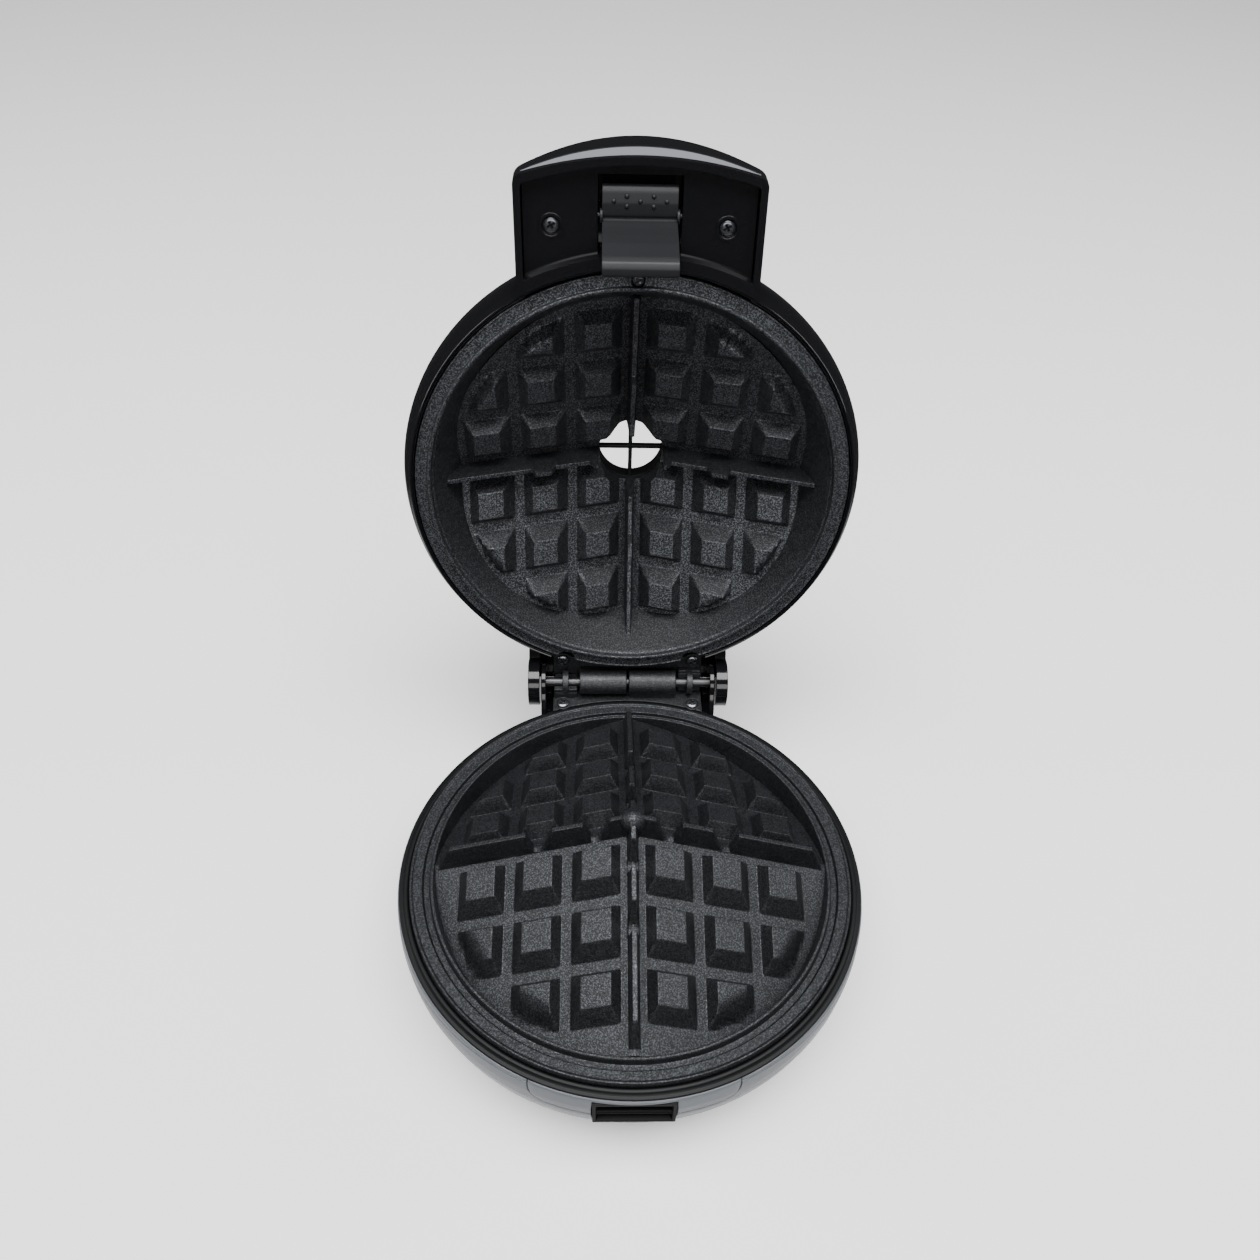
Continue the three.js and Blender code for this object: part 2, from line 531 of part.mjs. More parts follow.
/** The latch: a finger pad, a shank down the front of the base and a hook. */
function latchLever() {
  const profile = [
    [-134.6, 7.6], [-135, 5.4], [-133.6, 3.9], [-128, 3.2], [-123.6, 3.2], [-122.4, 2.4], [-120.3, -4],
    [-118.4, -10], [-116.4, -15.4], [-114.6, -19.6], [-112.4, -22], [-107.8, -21.6], [-107.5, -18.4],
    [-111.4, -18.2], [-113, -14], [-115, -8], [-116.8, -2], [-118.6, 4], [-120, 8], [-121.6, 11.4],
    [-124.4, 11.4], [-126, 8], [-128, 6], [-132.8, 6.4]];
  const body = alongX(profile, -LATCH_HALF, LATCH_HALF);
  return cut(body, rodAlongX(1.5, -30, 30, LATCH_PIVOT.y, LATCH_PIVOT.z + 3, 12));
}

// ---------- assembly ----------
const machine = new THREE.Group();
const base = new THREE.Group();
const lid = new THREE.Group();
lid.position.set(0, HINGE_Y, HINGE_Z);
lid.rotation.x = -OPEN_ANGLE;
const lidShut = new THREE.Group();
lidShut.position.set(0, -HINGE_Y, -HINGE_Z);
lid.add(lidShut);
machine.add(base, lid);

/** Turn a finished solid into a named mesh of its own material, in a group, at a place. */
function place(group, name, part, look, at = [0, 0, 0]) {
  const mesh = part.getMesh();
  const geometry = new THREE.BufferGeometry();
  const points = new Float32Array(3 * mesh.numVert);
  for (let i = 0; i < mesh.numVert; i += 1) {
    for (let k = 0; k < 3; k += 1) points[3 * i + k] = mesh.vertProperties[mesh.numProp * i + k];
  }
  geometry.setAttribute('position', new THREE.BufferAttribute(points, 3));
  geometry.setIndex(new THREE.BufferAttribute(new Uint32Array(mesh.triVerts), 1));
  geometry.computeVertexNormals();
  const object = new THREE.Mesh(geometry, new THREE.MeshStandardMaterial(look));
  object.name = name;
  object.position.set(...at);
  group.add(object);
}

place(base, 'base_body', baseBody(), GREY_GLOSS);
place(base, 'base_bezel', baseBezel(), GREY_GLOSS);
place(base, 'base_collar', baseCollar(), BLACK_GLOSS);
place(base, 'lower_plate', lowerPlate(), CASTING);
place(base, 'lower_heating_element', heatingElement(-1 - 2 * GAP - ELEMENT_TUBE, -1), DARK_STEEL);
place(base, 'lower_reflector', turned([[14, -22], [14, -22.8], [80, -20.8], [99, -15], [99, -14.2], [80, -20]], 40),
  BARE_ALUMINIUM);
place(base, 'thermostat', join(rod(8, 7, 14, 24, 0), rod(10, 4, 7.5, 24, 0)), CERAMIC);
place(base, 'thermal_fuse', rodAlongX(2.2, -34, -20, 0, 8, 12), SILVER);
place(base, 'terminal_block', box(-16, 16, 62, 76, -50, -38), CERAMIC);
place(base, 'bottom_cover', turned([[0, -57.6], [92.6, -57.6], [93.2, -55.3], [0, -55.3]]), BLACK_SATIN);
place(base, 'cord_gland', cordGland(), RUBBER);
place(base, 'latch_catch', latchCatch(), BLACK_GLOSS);
place(base, 'lower_hinge_bracket', hingeBracket(1), CASTING);
place(base, 'hinge_housing', hingeHousing(), BLACK_GLOSS);
place(base, 'hinge_pin', rodAlongX(PIN_RADIUS, -45.8, 45.8, HINGE_Y, HINGE_Z), STEEL);

const FEET = { front_left: [-58, -60], front_right: [58, -60], rear_left: [-34, 110], rear_right: [34, 110] };
for (const [corner, [x, y]] of Object.entries(FEET)) {
  place(base, `foot_${corner}`, rod(8.5, -RIM_HEIGHT, -57.6 - GAP, x, y, 24, 9.5), RUBBER);
}
const SIDES = [['left', -1], ['right', 1]];
const BRACKET_FACE = HINGE_Z - BRACKET_DROP;
for (const [name, side] of SIDES) {
  place(base, `lower_hinge_screw_${name}`, screw(SCREW.radius, BRACKET_FACE + 2.7, 10, false), DARK_STEEL,
    [side * SCREW.x, SCREW.y, 0]);
}

place(lidShut, 'lid_shell', lidShell(), BLACK_GLOSS);
place(lidShut, 'upper_plate', upperPlate(), CASTING);
place(lidShut, 'filler_tube', fillerTube(), BLACK_SATIN);
place(lidShut, 'upper_heating_element', heatingElement(45.5 + 2 * GAP + ELEMENT_TUBE, 1), DARK_STEEL);
const upperReflector = turned([[21, 59.2], [45, 58], [66, 55], [84, 46.6], [94, 34], [94, 34.9],
  [84.4, 47.5], [66.2, 55.9], [45, 58.9], [21, 60.1]], 40);
place(lidShut, 'upper_reflector', cut(upperReflector, box(-20, 20, 50, 72, 40, 70)), BARE_ALUMINIUM);
place(lidShut, 'handle_underside_cover', handleCover(), BLACK_GLOSS);
place(lidShut, 'handle_trim', trimBand(GAP), SILVER);
const upperBracket = hingeBracket(1).translate([0, -HINGE_Y, -HINGE_Z]).rotate([0, 180, 0])
  .translate([0, HINGE_Y, HINGE_Z]);
place(lidShut, 'upper_hinge_bracket', upperBracket, CASTING);
place(lidShut, 'latch_pin', rodAlongX(1.2, -18.4, 18.4, LATCH_PIVOT.y, LATCH_PIVOT.z + 3, 12), STEEL);
place(lidShut, 'power_lamp_lens', rod(2.6, 60.5, 64.6, ...LAMPS[0]), RED_LENS);
place(lidShut, 'ready_lamp_lens', rod(2.6, 60.5, 64.6, ...LAMPS[1]), GREEN_LENS);
for (const [name, side] of SIDES) {
  place(lidShut, `upper_hinge_screw_${name}`, screw(SCREW.radius, HINGE_Z + BRACKET_DROP - 2.7, 10, true), DARK_STEEL,
    [side * SCREW.x, SCREW.y, 0]);
  place(lidShut, `handle_screw_${name}`, screw(3.2, 4.6, 8.5, true), DARK_STEEL, [side * 36, -119.5, 0]);
}
place(lidShut, 'upper_plate_screw', screw(2.7, 3.3, 12, true), DARK_STEEL, [0, PLATE_SCREW_Y, 0]);
place(lidShut, 'latch_lever', latchLever(), BLACK_SATIN);

// The model stands on its feet, with its origin under the middle of its outline.
const outline = new THREE.Box3().setFromObject(machine, true);
machine.position.set(0, -(outline.min.y + outline.max.y) / 2, RIM_HEIGHT);

export default machine;
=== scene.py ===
"""The looks of a round waffle maker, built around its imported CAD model.

Pieces are drawn in millimetres, with z = 0 at the parting plane between the two baking plates and the
hinge towards +Y. Lid pieces are drawn with the lid shut, and PLACE turns them open about the hinge.
"""

import json
import math

import bmesh
import bpy
import numpy as np
from mathutils import Matrix, Vector


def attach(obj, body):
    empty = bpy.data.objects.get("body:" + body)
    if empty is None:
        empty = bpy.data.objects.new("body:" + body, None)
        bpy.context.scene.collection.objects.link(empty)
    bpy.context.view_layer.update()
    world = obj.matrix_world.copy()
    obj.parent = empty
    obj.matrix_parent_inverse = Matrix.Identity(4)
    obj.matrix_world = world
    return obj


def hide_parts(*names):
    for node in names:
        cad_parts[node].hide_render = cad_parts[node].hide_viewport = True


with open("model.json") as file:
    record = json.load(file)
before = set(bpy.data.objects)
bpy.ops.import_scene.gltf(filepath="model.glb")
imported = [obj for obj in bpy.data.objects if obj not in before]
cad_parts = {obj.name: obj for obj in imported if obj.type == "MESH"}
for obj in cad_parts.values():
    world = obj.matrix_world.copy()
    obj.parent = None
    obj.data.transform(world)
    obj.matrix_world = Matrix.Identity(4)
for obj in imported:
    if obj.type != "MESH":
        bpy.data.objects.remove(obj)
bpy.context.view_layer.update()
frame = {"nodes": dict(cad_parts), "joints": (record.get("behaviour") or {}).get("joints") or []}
NODES = frame["nodes"]

# ---------- the machine's own sizes, in millimetres ----------
RIM_HEIGHT = 60.0
HINGE_Y, HINGE_Z = 114.7, 6.5
OPEN_ANGLE = math.radians(100.2)
SLOPE = 0.325
LOWER_APEX, UPPER_APEX = 32.0, 58.6
CAVITY_Y = 1.2
BLOCK_START, BLOCK_BASE, BLOCK_PITCH = 5.65, 21.6, 26.35
LOWER_BLOCK = {"height": 8.7, "top": 13.1, "clip": 86.0}
UPPER_BLOCK = {"height": 8.2, "top": 11.9, "clip": 84.2}
RIB_TOP_HALF, RIB_FOOT_HALF = 1.15, 2.3
HOLE_RADIUS, TUBE_RADIUS = 16.2, 17.8
SCREW_X, SCREW_Y = 34.9, 105.4
BRACKET_FACE = HINGE_Z - 7.1
LATCH_PIN_Y, LATCH_PIN_Z = -123.0, 9.0
PLATE_SCREW_Y = -98.8
HANDLE_SCREW_X, HANDLE_SCREW_Y = 36, -119.5
ROUND = 224
MERGE_DISTANCE = 1e-4

HINGE = Vector(next(j for j in frame["joints"] if j["name"] == "lid_hinge")["pos_m"])
SHIFT = HINGE.y * 1000 - HINGE_Y
TO_BASE = Matrix.Scale(0.001, 4) @ Matrix.Translation((0, SHIFT, RIM_HEIGHT))
TO_LID = (TO_BASE @ Matrix.Translation((0, HINGE_Y, HINGE_Z)) @ Matrix.Rotation(-OPEN_ANGLE, 4, "X")
          @ Matrix.Translation((0, -HINGE_Y, -HINGE_Z)))
PLACE = {"base": TO_BASE, "lid": TO_LID, "latch": TO_LID}


# ---------- shells: (vertices, faces) in millimetres ----------
def joined(*shells):
    vertices, faces = [], []
    for points, polygons in shells:
        start = len(vertices)
        vertices.extend([tuple(p) for p in points])
        faces.extend([[start + i for i in polygon] for polygon in polygons])
    return vertices, faces


def moved(shell, matrix):
    return [tuple(matrix @ Vector(p)) for p in shell[0]], shell[1]


def rounded(profile, radius, steps=3):
    """The corners of a flat profile, each turned into a short curve. Points on the axis stay."""
    result = []
    count = len(profile)
    for i, point in enumerate(profile):
        here = Vector(point)
        if abs(point[0]) < 1e-6:
            result.append(tuple(here))
            continue
        before, after = Vector(profile[i - 1]) - here, Vector(profile[(i + 1) % count]) - here
        reach = min(radius, before.length * 0.45, after.length * 0.45)
        start, end = here + before.normalized() * reach, here + after.normalized() * reach
        for k in range(steps + 1):
            t = k / steps
            result.append(tuple(start * (1 - t) ** 2 + here * 2 * t * (1 - t) + end * t * t))
    return result


def lathe(profile, sides=ROUND, axis="Z"):
    """A closed profile of (radius, height) turned about an axis through the origin."""
    vertices, rings = [], []
    for radius, height in profile:
        if radius < 1e-6:
            rings.append([len(vertices)] * sides)
            vertices.append((0.0, 0.0, height))
            continue
        rings.append(list(range(len(vertices), len(vertices) + sides)))
        for k in range(sides):
            angle = 2 * math.pi * k / sides
            vertices.append((radius * math.cos(angle), radius * math.sin(angle), height))
    faces = []
    open_on_axis = profile[0][0] < 1e-6 and profile[-1][0] < 1e-6
    for i in range(len(rings) - (1 if open_on_axis else 0)):
        low, high = rings[i], rings[(i + 1) % len(rings)]
        for k in range(sides):
            n = (k + 1) % sides
            corners = []
            for corner in (low[k], low[n], high[n], high[k]):
                if corner not in corners:
                    corners.append(corner)
            if len(corners) > 2:
                faces.append(corners)
    turn = {"Z": Matrix.Identity(4), "X": Matrix.Rotation(math.pi / 2, 4, "Y"),
            "Y": Matrix.Rotation(-math.pi / 2, 4, "X")}[axis]
    return moved((vertices, faces), turn)


def at(shell, x=0.0, y=0.0, z=0.0):
    return moved(shell, Matrix.Translation((x, y, z)))


def prism(outline, z0, z1):
    count = len(outline)
    vertices = [(x, y, z0) for x, y in outline] + [(x, y, z1) for x, y in outline]
    faces = [list(range(count))[::-1], list(range(count, 2 * count))]
    faces += [[i, (i + 1) % count, count + (i + 1) % count, count + i] for i in range(count)]
    return vertices, faces


def along_x(profile, x0, x1):
    """A profile in Y and Z, run from x0 to x1."""
    vertices, faces = prism(profile, x0, x1)
    return [(z, x, y) for x, y, z in vertices], faces


def block(x0, x1, y0, y1, z0, z1):
    return prism([(x0, y0), (x1, y0), (x1, y1), (x0, y1)], z0, z1)


def as_bmesh(shell):
    mesh = bmesh.new()
    points = [mesh.verts.new(p) for p in shell[0]]
    for polygon in shell[1]:
        try:
            mesh.faces.new([points[i] for i in polygon])
        except ValueError:
            continue
    return mesh


def as_shell(mesh):
    mesh.verts.index_update()
    shell = [tuple(v.co) for v in mesh.verts], [[v.index for v in f.verts] for f in mesh.faces]
    mesh.free()
    return shell


def softened(shell, width, steps=3, angle=35):
    """A shell whose sharp edges have a small round on them."""
    mesh = as_bmesh(shell)
    bmesh.ops.remove_doubles(mesh, verts=mesh.verts, dist=MERGE_DISTANCE)
    bmesh.ops.recalc_face_normals(mesh, faces=mesh.faces)
    bmesh.ops.dissolve_limit(mesh, angle_limit=math.radians(0.4), verts=mesh.verts, edges=mesh.edges)
    sharp = [e for e in mesh.edges if len(e.link_faces) == 2 and e.calc_face_angle(0) > math.radians(angle)]
    bmesh.ops.bevel(mesh, geom=sharp, offset=width, offset_type="OFFSET", segments=steps, profile=0.5,
                    affect="EDGES", clamp_overlap=True)
    return as_shell(mesh)


def in_scene(name, data):
    obj = bpy.data.objects.new(name, data)
    bpy.context.scene.collection.objects.link(obj)
    return obj


def loose_object(name, shell):
    mesh = bpy.data.meshes.new(name)
    mesh.from_pydata([tuple(p) for p in shell[0]], [], [list(f) for f in shell[1]])
    return in_scene(name, mesh)


def facing_out(name, shell):
    """A shell as an object, its faces pointing outwards."""
    obj = loose_object(name, shell)
    mesh = as_bmesh(shell)
    bmesh.ops.recalc_face_normals(mesh, faces=mesh.faces)
    mesh.to_mesh(obj.data)
    mesh.free()
    return obj


def plain_mesh(obj):
    """The object's evaluated mesh, with the object and its modifiers gone."""
    graph = bpy.context.evaluated_depsgraph_get()
    mesh = bpy.data.meshes.new_from_object(obj.evaluated_get(graph))
    bpy.data.objects.remove(obj)
    return mesh


def carved(shell, *tools):
    """A shell with other shells cut out of it."""
    body = facing_out("carved", shell)
    cutters = [facing_out("cutter", tool) for tool in tools]
    for cutter in cutters:
        modifier = body.modifiers.new("cut", "BOOLEAN")
        modifier.operation, modifier.solver, modifier.object = "DIFFERENCE", "EXACT", cutter
    result = plain_mesh(body)
    for cutter in cutters:
        bpy.data.objects.remove(cutter)
    mesh = bmesh.new()
    mesh.from_mesh(result)
    return as_shell(mesh)


def finished(name, shell, body, slot, material, stands_for=(), smooth_angle=34, weld=True):
    """A shell or a ready mesh as a named piece that rides on a body."""
    if isinstance(shell, tuple):
        mesh = bpy.data.meshes.new(name)
        work = as_bmesh(shell)
        if weld:
            bmesh.ops.remove_doubles(work, verts=work.verts, dist=MERGE_DISTANCE)
        bmesh.ops.recalc_face_normals(work, faces=work.faces)
        work.to_mesh(mesh)
        work.free()
    else:
        mesh = shell
    mesh.name = name
    mesh.transform(PLACE[body])
    mesh.polygons.foreach_set("use_smooth", [True] * len(mesh.polygons))
    mesh.set_sharp_from_angle(angle=math.radians(smooth_angle))
    mesh.materials.clear()
    mesh.materials.append(material)
    draft = in_scene(name, mesh)
    even = draft.modifiers.new("even_normals", "WEIGHTED_NORMAL")
    even.keep_sharp, even.weight = True, 80
    mesh = plain_mesh(draft)
    mesh.name = name
    obj = in_scene(name, mesh)
    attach(obj, body)
    if stands_for:
        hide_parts(*stands_for)
    return obj


# ---------- materials ----------
def node(tree, kind, **settings):
    made = tree.nodes.new(kind)
    for name, value in settings.items():
        setattr(made, name, value)
    return made


def feed(tree, target, value):
    """Join a socket to another, or set its value."""
    if isinstance(value, bpy.types.NodeSocket):
        tree.links.new(value, target)
    else:
        target.default_value = value


def shader_group(name, inputs, outputs):
    tree = bpy.data.node_groups.new(name, "ShaderNodeTree")
    for label, kind, default in inputs:
        socket = tree.interface.new_socket(label, in_out="INPUT", socket_type=kind)
        socket.default_value = default
    for label, kind in outputs:
        tree.interface.new_socket(label, in_out="OUTPUT", socket_type=kind)
    return tree, tree.nodes.new("NodeGroupInput"), tree.nodes.new("NodeGroupOutput")


def noise(tree, vector, scale, detail=2.0, roughness=0.5):
    made = node(tree, "ShaderNodeTexNoise", noise_dimensions="3D")
    feed(tree, made.inputs["Vector"], vector)
    feed(tree, made.inputs["Scale"], scale)
    made.inputs["Detail"].default_value = detail
    made.inputs["Roughness"].default_value = roughness
    return made.outputs["Fac"]


def spread(tree, value, low, high, to_low=0.0, to_high=1.0):
    made = node(tree, "ShaderNodeMapRange", clamp=True)
    for label, number in (("Value", value), ("From Min", low), ("From Max", high), ("To Min", to_low),
                          ("To Max", to_high)):
        feed(tree, made.inputs[label], number)
    return made.outputs["Result"]


def mixed(tree, factor, first, second):
    made = node(tree, "ShaderNodeMix", data_type="RGBA")
    for socket, value in ((made.inputs[0], factor), (made.inputs[6], first), (made.inputs[7], second)):
        feed(tree, socket, value)
    return made.outputs[2]


def math_node(tree, operation, first, second=0.0):
    made = node(tree, "ShaderNodeMath", operation=operation)
    feed(tree, made.inputs[0], first)
    feed(tree, made.inputs[1], second)
    return made.outputs[0]


def coat_speckle_group():
    """The sprayed non-stick coat: bright flakes in a dark ground, fewer of them on faces turned away from the
    Axis input, which paints the steep walls darker: painted shade.
    """
    tree, given, result = shader_group(
        "non_stick_speckle",
        [("Ground", "NodeSocketColor", (0.0045, 0.0048, 0.0055, 1)),
         ("Flake", "NodeSocketColor", (0.075, 0.08, 0.09, 1)), ("Grain Scale", "NodeSocketFloat", 1450.0),
         ("Flake Share", "NodeSocketFloat", 0.5), ("Axis", "NodeSocketVector", (0.0, 0.0, 1.0))],
        [("Color", "NodeSocketColor"), ("Roughness", "NodeSocketFloat"), ("Metallic", "NodeSocketFloat"),
         ("Height", "NodeSocketFloat")])
    place = tree.nodes.new("ShaderNodeTexCoord")
    where = place.outputs["Object"]
    grain = noise(tree, where, given.outputs["Grain Scale"], 2.0, 0.7)
    coarse = noise(tree, where, 380.0, 1.0)
    facing = node(tree, "ShaderNodeVectorMath", operation="DOT_PRODUCT")
    tree.links.new(place.outputs["Normal"], facing.inputs[0])
    tree.links.new(given.outputs["Axis"], facing.inputs[1])
    # Faces turned to the Axis keep their full share of flakes and steep faces get fewer, so the steep walls
    # come out darker: painted shade.
    flat = spread(tree, facing.outputs["Value"], 0.35, 0.86, 0.3, 1.0)
    edge = math_node(tree, "SUBTRACT", 0.98, given.outputs["Flake Share"])
    flakes = spread(tree, grain, edge, math_node(tree, "ADD", edge, 0.14))
    flakes = math_node(tree, "MULTIPLY", flakes, flat)
    colour = mixed(tree, flakes, given.outputs["Ground"], given.outputs["Flake"])
    tree.links.new(colour, result.inputs["Color"])
    tree.links.new(spread(tree, coarse, 0.3, 0.7, 0.44, 0.56), result.inputs["Roughness"])
    tree.links.new(flakes, result.inputs["Metallic"])
    height = math_node(tree, "ADD", grain, math_node(tree, "MULTIPLY", coarse, 0.35))
    tree.links.new(height, result.inputs["Height"])
    return tree


def handling_group():
    """Faint smears and dust on a moulded or polished surface, and the mould's own texture."""
    tree, given, result = shader_group(
        "handling_marks",
        [("Color", "NodeSocketColor", (0.02, 0.02, 0.02, 1)), ("Dust", "NodeSocketColor", (0.2, 0.2, 0.2, 1)),
         ("Dust Amount", "NodeSocketFloat", 0.05), ("Roughness", "NodeSocketFloat", 0.2),
         ("Smear", "NodeSocketFloat", 0.06), ("Texture Scale", "NodeSocketFloat", 900.0)],
        [("Color", "NodeSocketColor"), ("Roughness", "NodeSocketFloat"), ("Height", "NodeSocketFloat")])
    where = tree.nodes.new("ShaderNodeTexCoord").outputs["Object"]
    slow = noise(tree, where, 14.0, 3.0)
    specks = noise(tree, where, 2600.0, 1.0)
    dusted = math_node(tree, "MULTIPLY", spread(tree, specks, 0.66, 0.78), spread(tree, slow, 0.35, 0.75))
    amount = math_node(tree, "MULTIPLY", dusted, given.outputs["Dust Amount"])
    tree.links.new(mixed(tree, amount, given.outputs["Color"], given.outputs["Dust"]), result.inputs["Color"])
    smear = math_node(tree, "MULTIPLY", spread(tree, slow, 0.4, 0.7), given.outputs["Smear"])
    tree.links.new(math_node(tree, "ADD", given.outputs["Roughness"], smear), result.inputs["Roughness"])
    tree.links.new(noise(tree, where, given.outputs["Texture Scale"], 2.0), result.inputs["Height"])
    return tree


SPECKLE = coat_speckle_group()
HANDLING = handling_group()


def material(name, group, values, bump=(0.1, 0.0001), metallic=0.0, coat=0.0, specular=0.5):
    made = bpy.data.materials.new(name)
    made.use_nodes = True
    tree = made.node_tree
    shader = tree.nodes["Principled BSDF"]
    surface = node(tree, "ShaderNodeGroup", node_tree=group)
    for label, value in values.items():
        surface.inputs[label].default_value = value
    tree.links.new(surface.outputs["Color"], shader.inputs["Base Color"])
    tree.links.new(surface.outputs["Roughness"], shader.inputs["Roughness"])
    if "Metallic" in surface.outputs:
        tree.links.new(surface.outputs["Metallic"], shader.inputs["Metallic"])
    relief = tree.nodes.new("ShaderNodeBump")
    relief.inputs["Strength"].default_value = bump[0]
    relief.inputs["Distance"].default_value = bump[1]
    tree.links.new(surface.outputs["Height"], relief.inputs["Height"])
    tree.links.new(relief.outputs["Normal"], shader.inputs["Normal"])
    shader.inputs["Metallic"].default_value = metallic
    shader.inputs["Coat Weight"].default_value = coat
    shader.inputs["Coat Roughness"].default_value = 0.05
    shader.inputs["Specular IOR Level"].default_value = specular
    made.diffuse_color = (0.2, 0.2, 0.2, 1)
    return made


def moulded(name, colour, roughness, dust=0.05, smear=0.05, texture=900.0, **rest):
    values = {"Color": (*colour, 1), "Roughness": roughness, "Dust Amount": dust, "Smear": smear,
              "Texture Scale": texture}
    return material(name, HANDLING, values, **rest)


LID_AXIS = (0.0, -math.sin(OPEN_ANGLE), -math.cos(OPEN_ANGLE))
NON_STICK = material("lower_non_stick_coat", SPECKLE, {"Flake Share": 0.5}, bump=(0.5, 0.0002),
                     specular=0.3)
# The same coat as the lower plate, its flakes painted brighter on the lid: painted highlight.
LID_COAT_PAINTED_BRIGHTER = material("upper_coat_painted_brighter", SPECKLE, {"Flake Share": 0.5, "Axis": LID_AXIS,
                                                           "Flake": (0.14, 0.148, 0.165, 1)},
                         bump=(0.5, 0.0002), specular=0.3)
# Its flakes follow an axis tilted to the front and up, so faces turned towards the light come out lighter and
# the others darker: painted light and shade.
HINGE_COAT = material("hinge_casting_coat", SPECKLE, {"Flake Share": 0.48, "Grain Scale": 1200.0,
                                                      "Axis": (0.0, -0.5, 0.87)}, bump=(0.5, 0.0002))
GREY_GLOSS = moulded("grey_gloss_moulding", (0.105, 0.112, 0.124), 0.2, dust=0.0, texture=120.0,
                     bump=(0.004, 0.0001), specular=0.35)
BLACK_GLOSS = moulded("black_gloss_moulding", (0.0045, 0.0046, 0.0055), 0.1, dust=0.05, smear=0.05,
                      texture=120.0, bump=(0.004, 0.0001))
BLACK_SATIN = moulded("latch_satin_moulding", (0.007, 0.0075, 0.009), 0.46, texture=1600.0,
                      bump=(0.12, 0.0001), specular=0.35)
LINING_BLACK = moulded("lining_black_moulding", (0.003, 0.003, 0.003), 0.45, texture=1200.0,
                       bump=(0.08, 0.0001), specular=0.15)
COLLAR_BLACK = moulded("collar_smooth_black", (0.0055, 0.006, 0.0065), 0.45, bump=(0.04, 0.0001),
                       specular=0.2)
SILVER_FOIL = moulded("handle_strip_foil", (0.42, 0.435, 0.48), 0.25, dust=0.0, texture=700.0,
                      bump=(0.03, 0.0001), metallic=0.55)
DARK_SCREW = moulded("blackened_screw", (0.16, 0.165, 0.18), 0.22, texture=2200.0, bump=(0.1, 0.0001),
                     metallic=0.9)
# Steel painted nearly black so the pins read as the shade between the hinge knuckles and cheeks: painted
# shade.
STEEL_PAINTED_DARK = moulded("steel_painted_dark", (0.09, 0.09, 0.095), 0.42, texture=1800.0, bump=(0.08, 0.0001),
                      metallic=1.0)
OXIDISED = moulded("oxidised_sheath", (0.09, 0.085, 0.08), 0.5, bump=(0.2, 0.0001), metallic=0.8)
BRIGHT_SHEET = moulded("bright_sheet", (0.6, 0.6, 0.61), 0.28, texture=500.0, bump=(0.08, 0.0001),
                       metallic=1.0)
CERAMIC = moulded("unglazed_ceramic", (0.62, 0.58, 0.5), 0.75, texture=1500.0, bump=(0.2, 0.0001))
RUBBER = moulded("soft_rubber", (0.012, 0.012, 0.012), 0.8, dust=0.3, texture=1500.0, bump=(0.25, 0.0001))
RED_LENS = moulded("red_lens", (0.35, 0.006, 0.006), 0.08, texture=200.0, bump=(0.02, 0.0001), coat=0.5)
GREEN_LENS = moulded("green_lens", (0.01, 0.22, 0.03), 0.08, texture=200.0, bump=(0.02, 0.0001), coat=0.5)


# ---------- Geometry Nodes ----------
class Field:
    """A number that varies over a mesh, kept as nodes in a Geometry Nodes tree."""

    def __init__(self, tree, socket):
        self.tree, self.socket = tree, socket

    def calc(self, operation, *others):
        made = self.tree.nodes.new("ShaderNodeMath")
        made.operation = operation
        for socket, value in zip(made.inputs, (self, *others)):
            if isinstance(value, Field):
                self.tree.links.new(value.socket, socket)
            else:
                socket.default_value = value
        return Field(self.tree, made.outputs[0])

    def __add__(self, other):
        return self.calc("ADD", other)

    def __sub__(self, other):
        return self.calc("SUBTRACT", other)

    def __mul__(self, other):
        return self.calc("MULTIPLY", other)

    def __truediv__(self, other):
        return self.calc("DIVIDE", other)

    def less_from(self, number):
        """number minus this."""
        return self.calc("MULTIPLY", -1.0) + number

    def least(self, other, soft=0.0):
        return self.calc("SMOOTH_MIN", other, soft) if soft else self.calc("MINIMUM", other)

    def most(self, other, soft=0.0):
        return self.calc("SMOOTH_MAX", other, soft) if soft else self.calc("MAXIMUM", other)

    def size(self):
        return self.calc("ABSOLUTE")


def geometry_tree(name, inputs):
    tree = bpy.data.node_groups.new(name, "GeometryNodeTree")
    tree.interface.new_socket("Geometry", in_out="INPUT", socket_type="NodeSocketGeometry")
    for label, kind, default in inputs:
        socket = tree.interface.new_socket(label, in_out="INPUT", socket_type=kind)
        if default is not None:
            socket.default_value = default
    tree.interface.new_socket("Geometry", in_out="OUTPUT", socket_type="NodeSocketGeometry")
    return tree, tree.nodes.new("NodeGroupInput"), tree.nodes.new("NodeGroupOutput")


def grown(obj, tree, values):
    """The plain mesh that a Geometry Nodes tree makes from an object."""
    modifier = obj.modifiers.new(tree.name, "NODES")
    modifier.node_group = tree
    for item in tree.interface.items_tree:
        if item.in_out == "INPUT" and item.name in values:
            modifier[item.identifier] = values[item.name]
    return plain_mesh(obj)


def teeth_of_rib(along, spans):
    """How far up each tooth of a rib stands, as a share of its height. A span is its foot and its top."""
    result = None
    for foot_in, top_in, top_out, foot_out in spans:
        tooth = along.less_from(foot_out) / (foot_out - top_out)
        if foot_in is not None:
            tooth = tooth.least((along - foot_in) / (top_in - foot_in))
        result = tooth if result is None else result.most(tooth)
    return result


LOWER_TEETH = [(None, None, 10.4, 14.2), (18.9, 22.6, 36.5, 40.7), (45.4, 48.9, 84.5, 90.3)]
UPPER_TABS = [(None, None, 17.5, 20.4), (37.4, 39.1, 46.9, 48.6)]


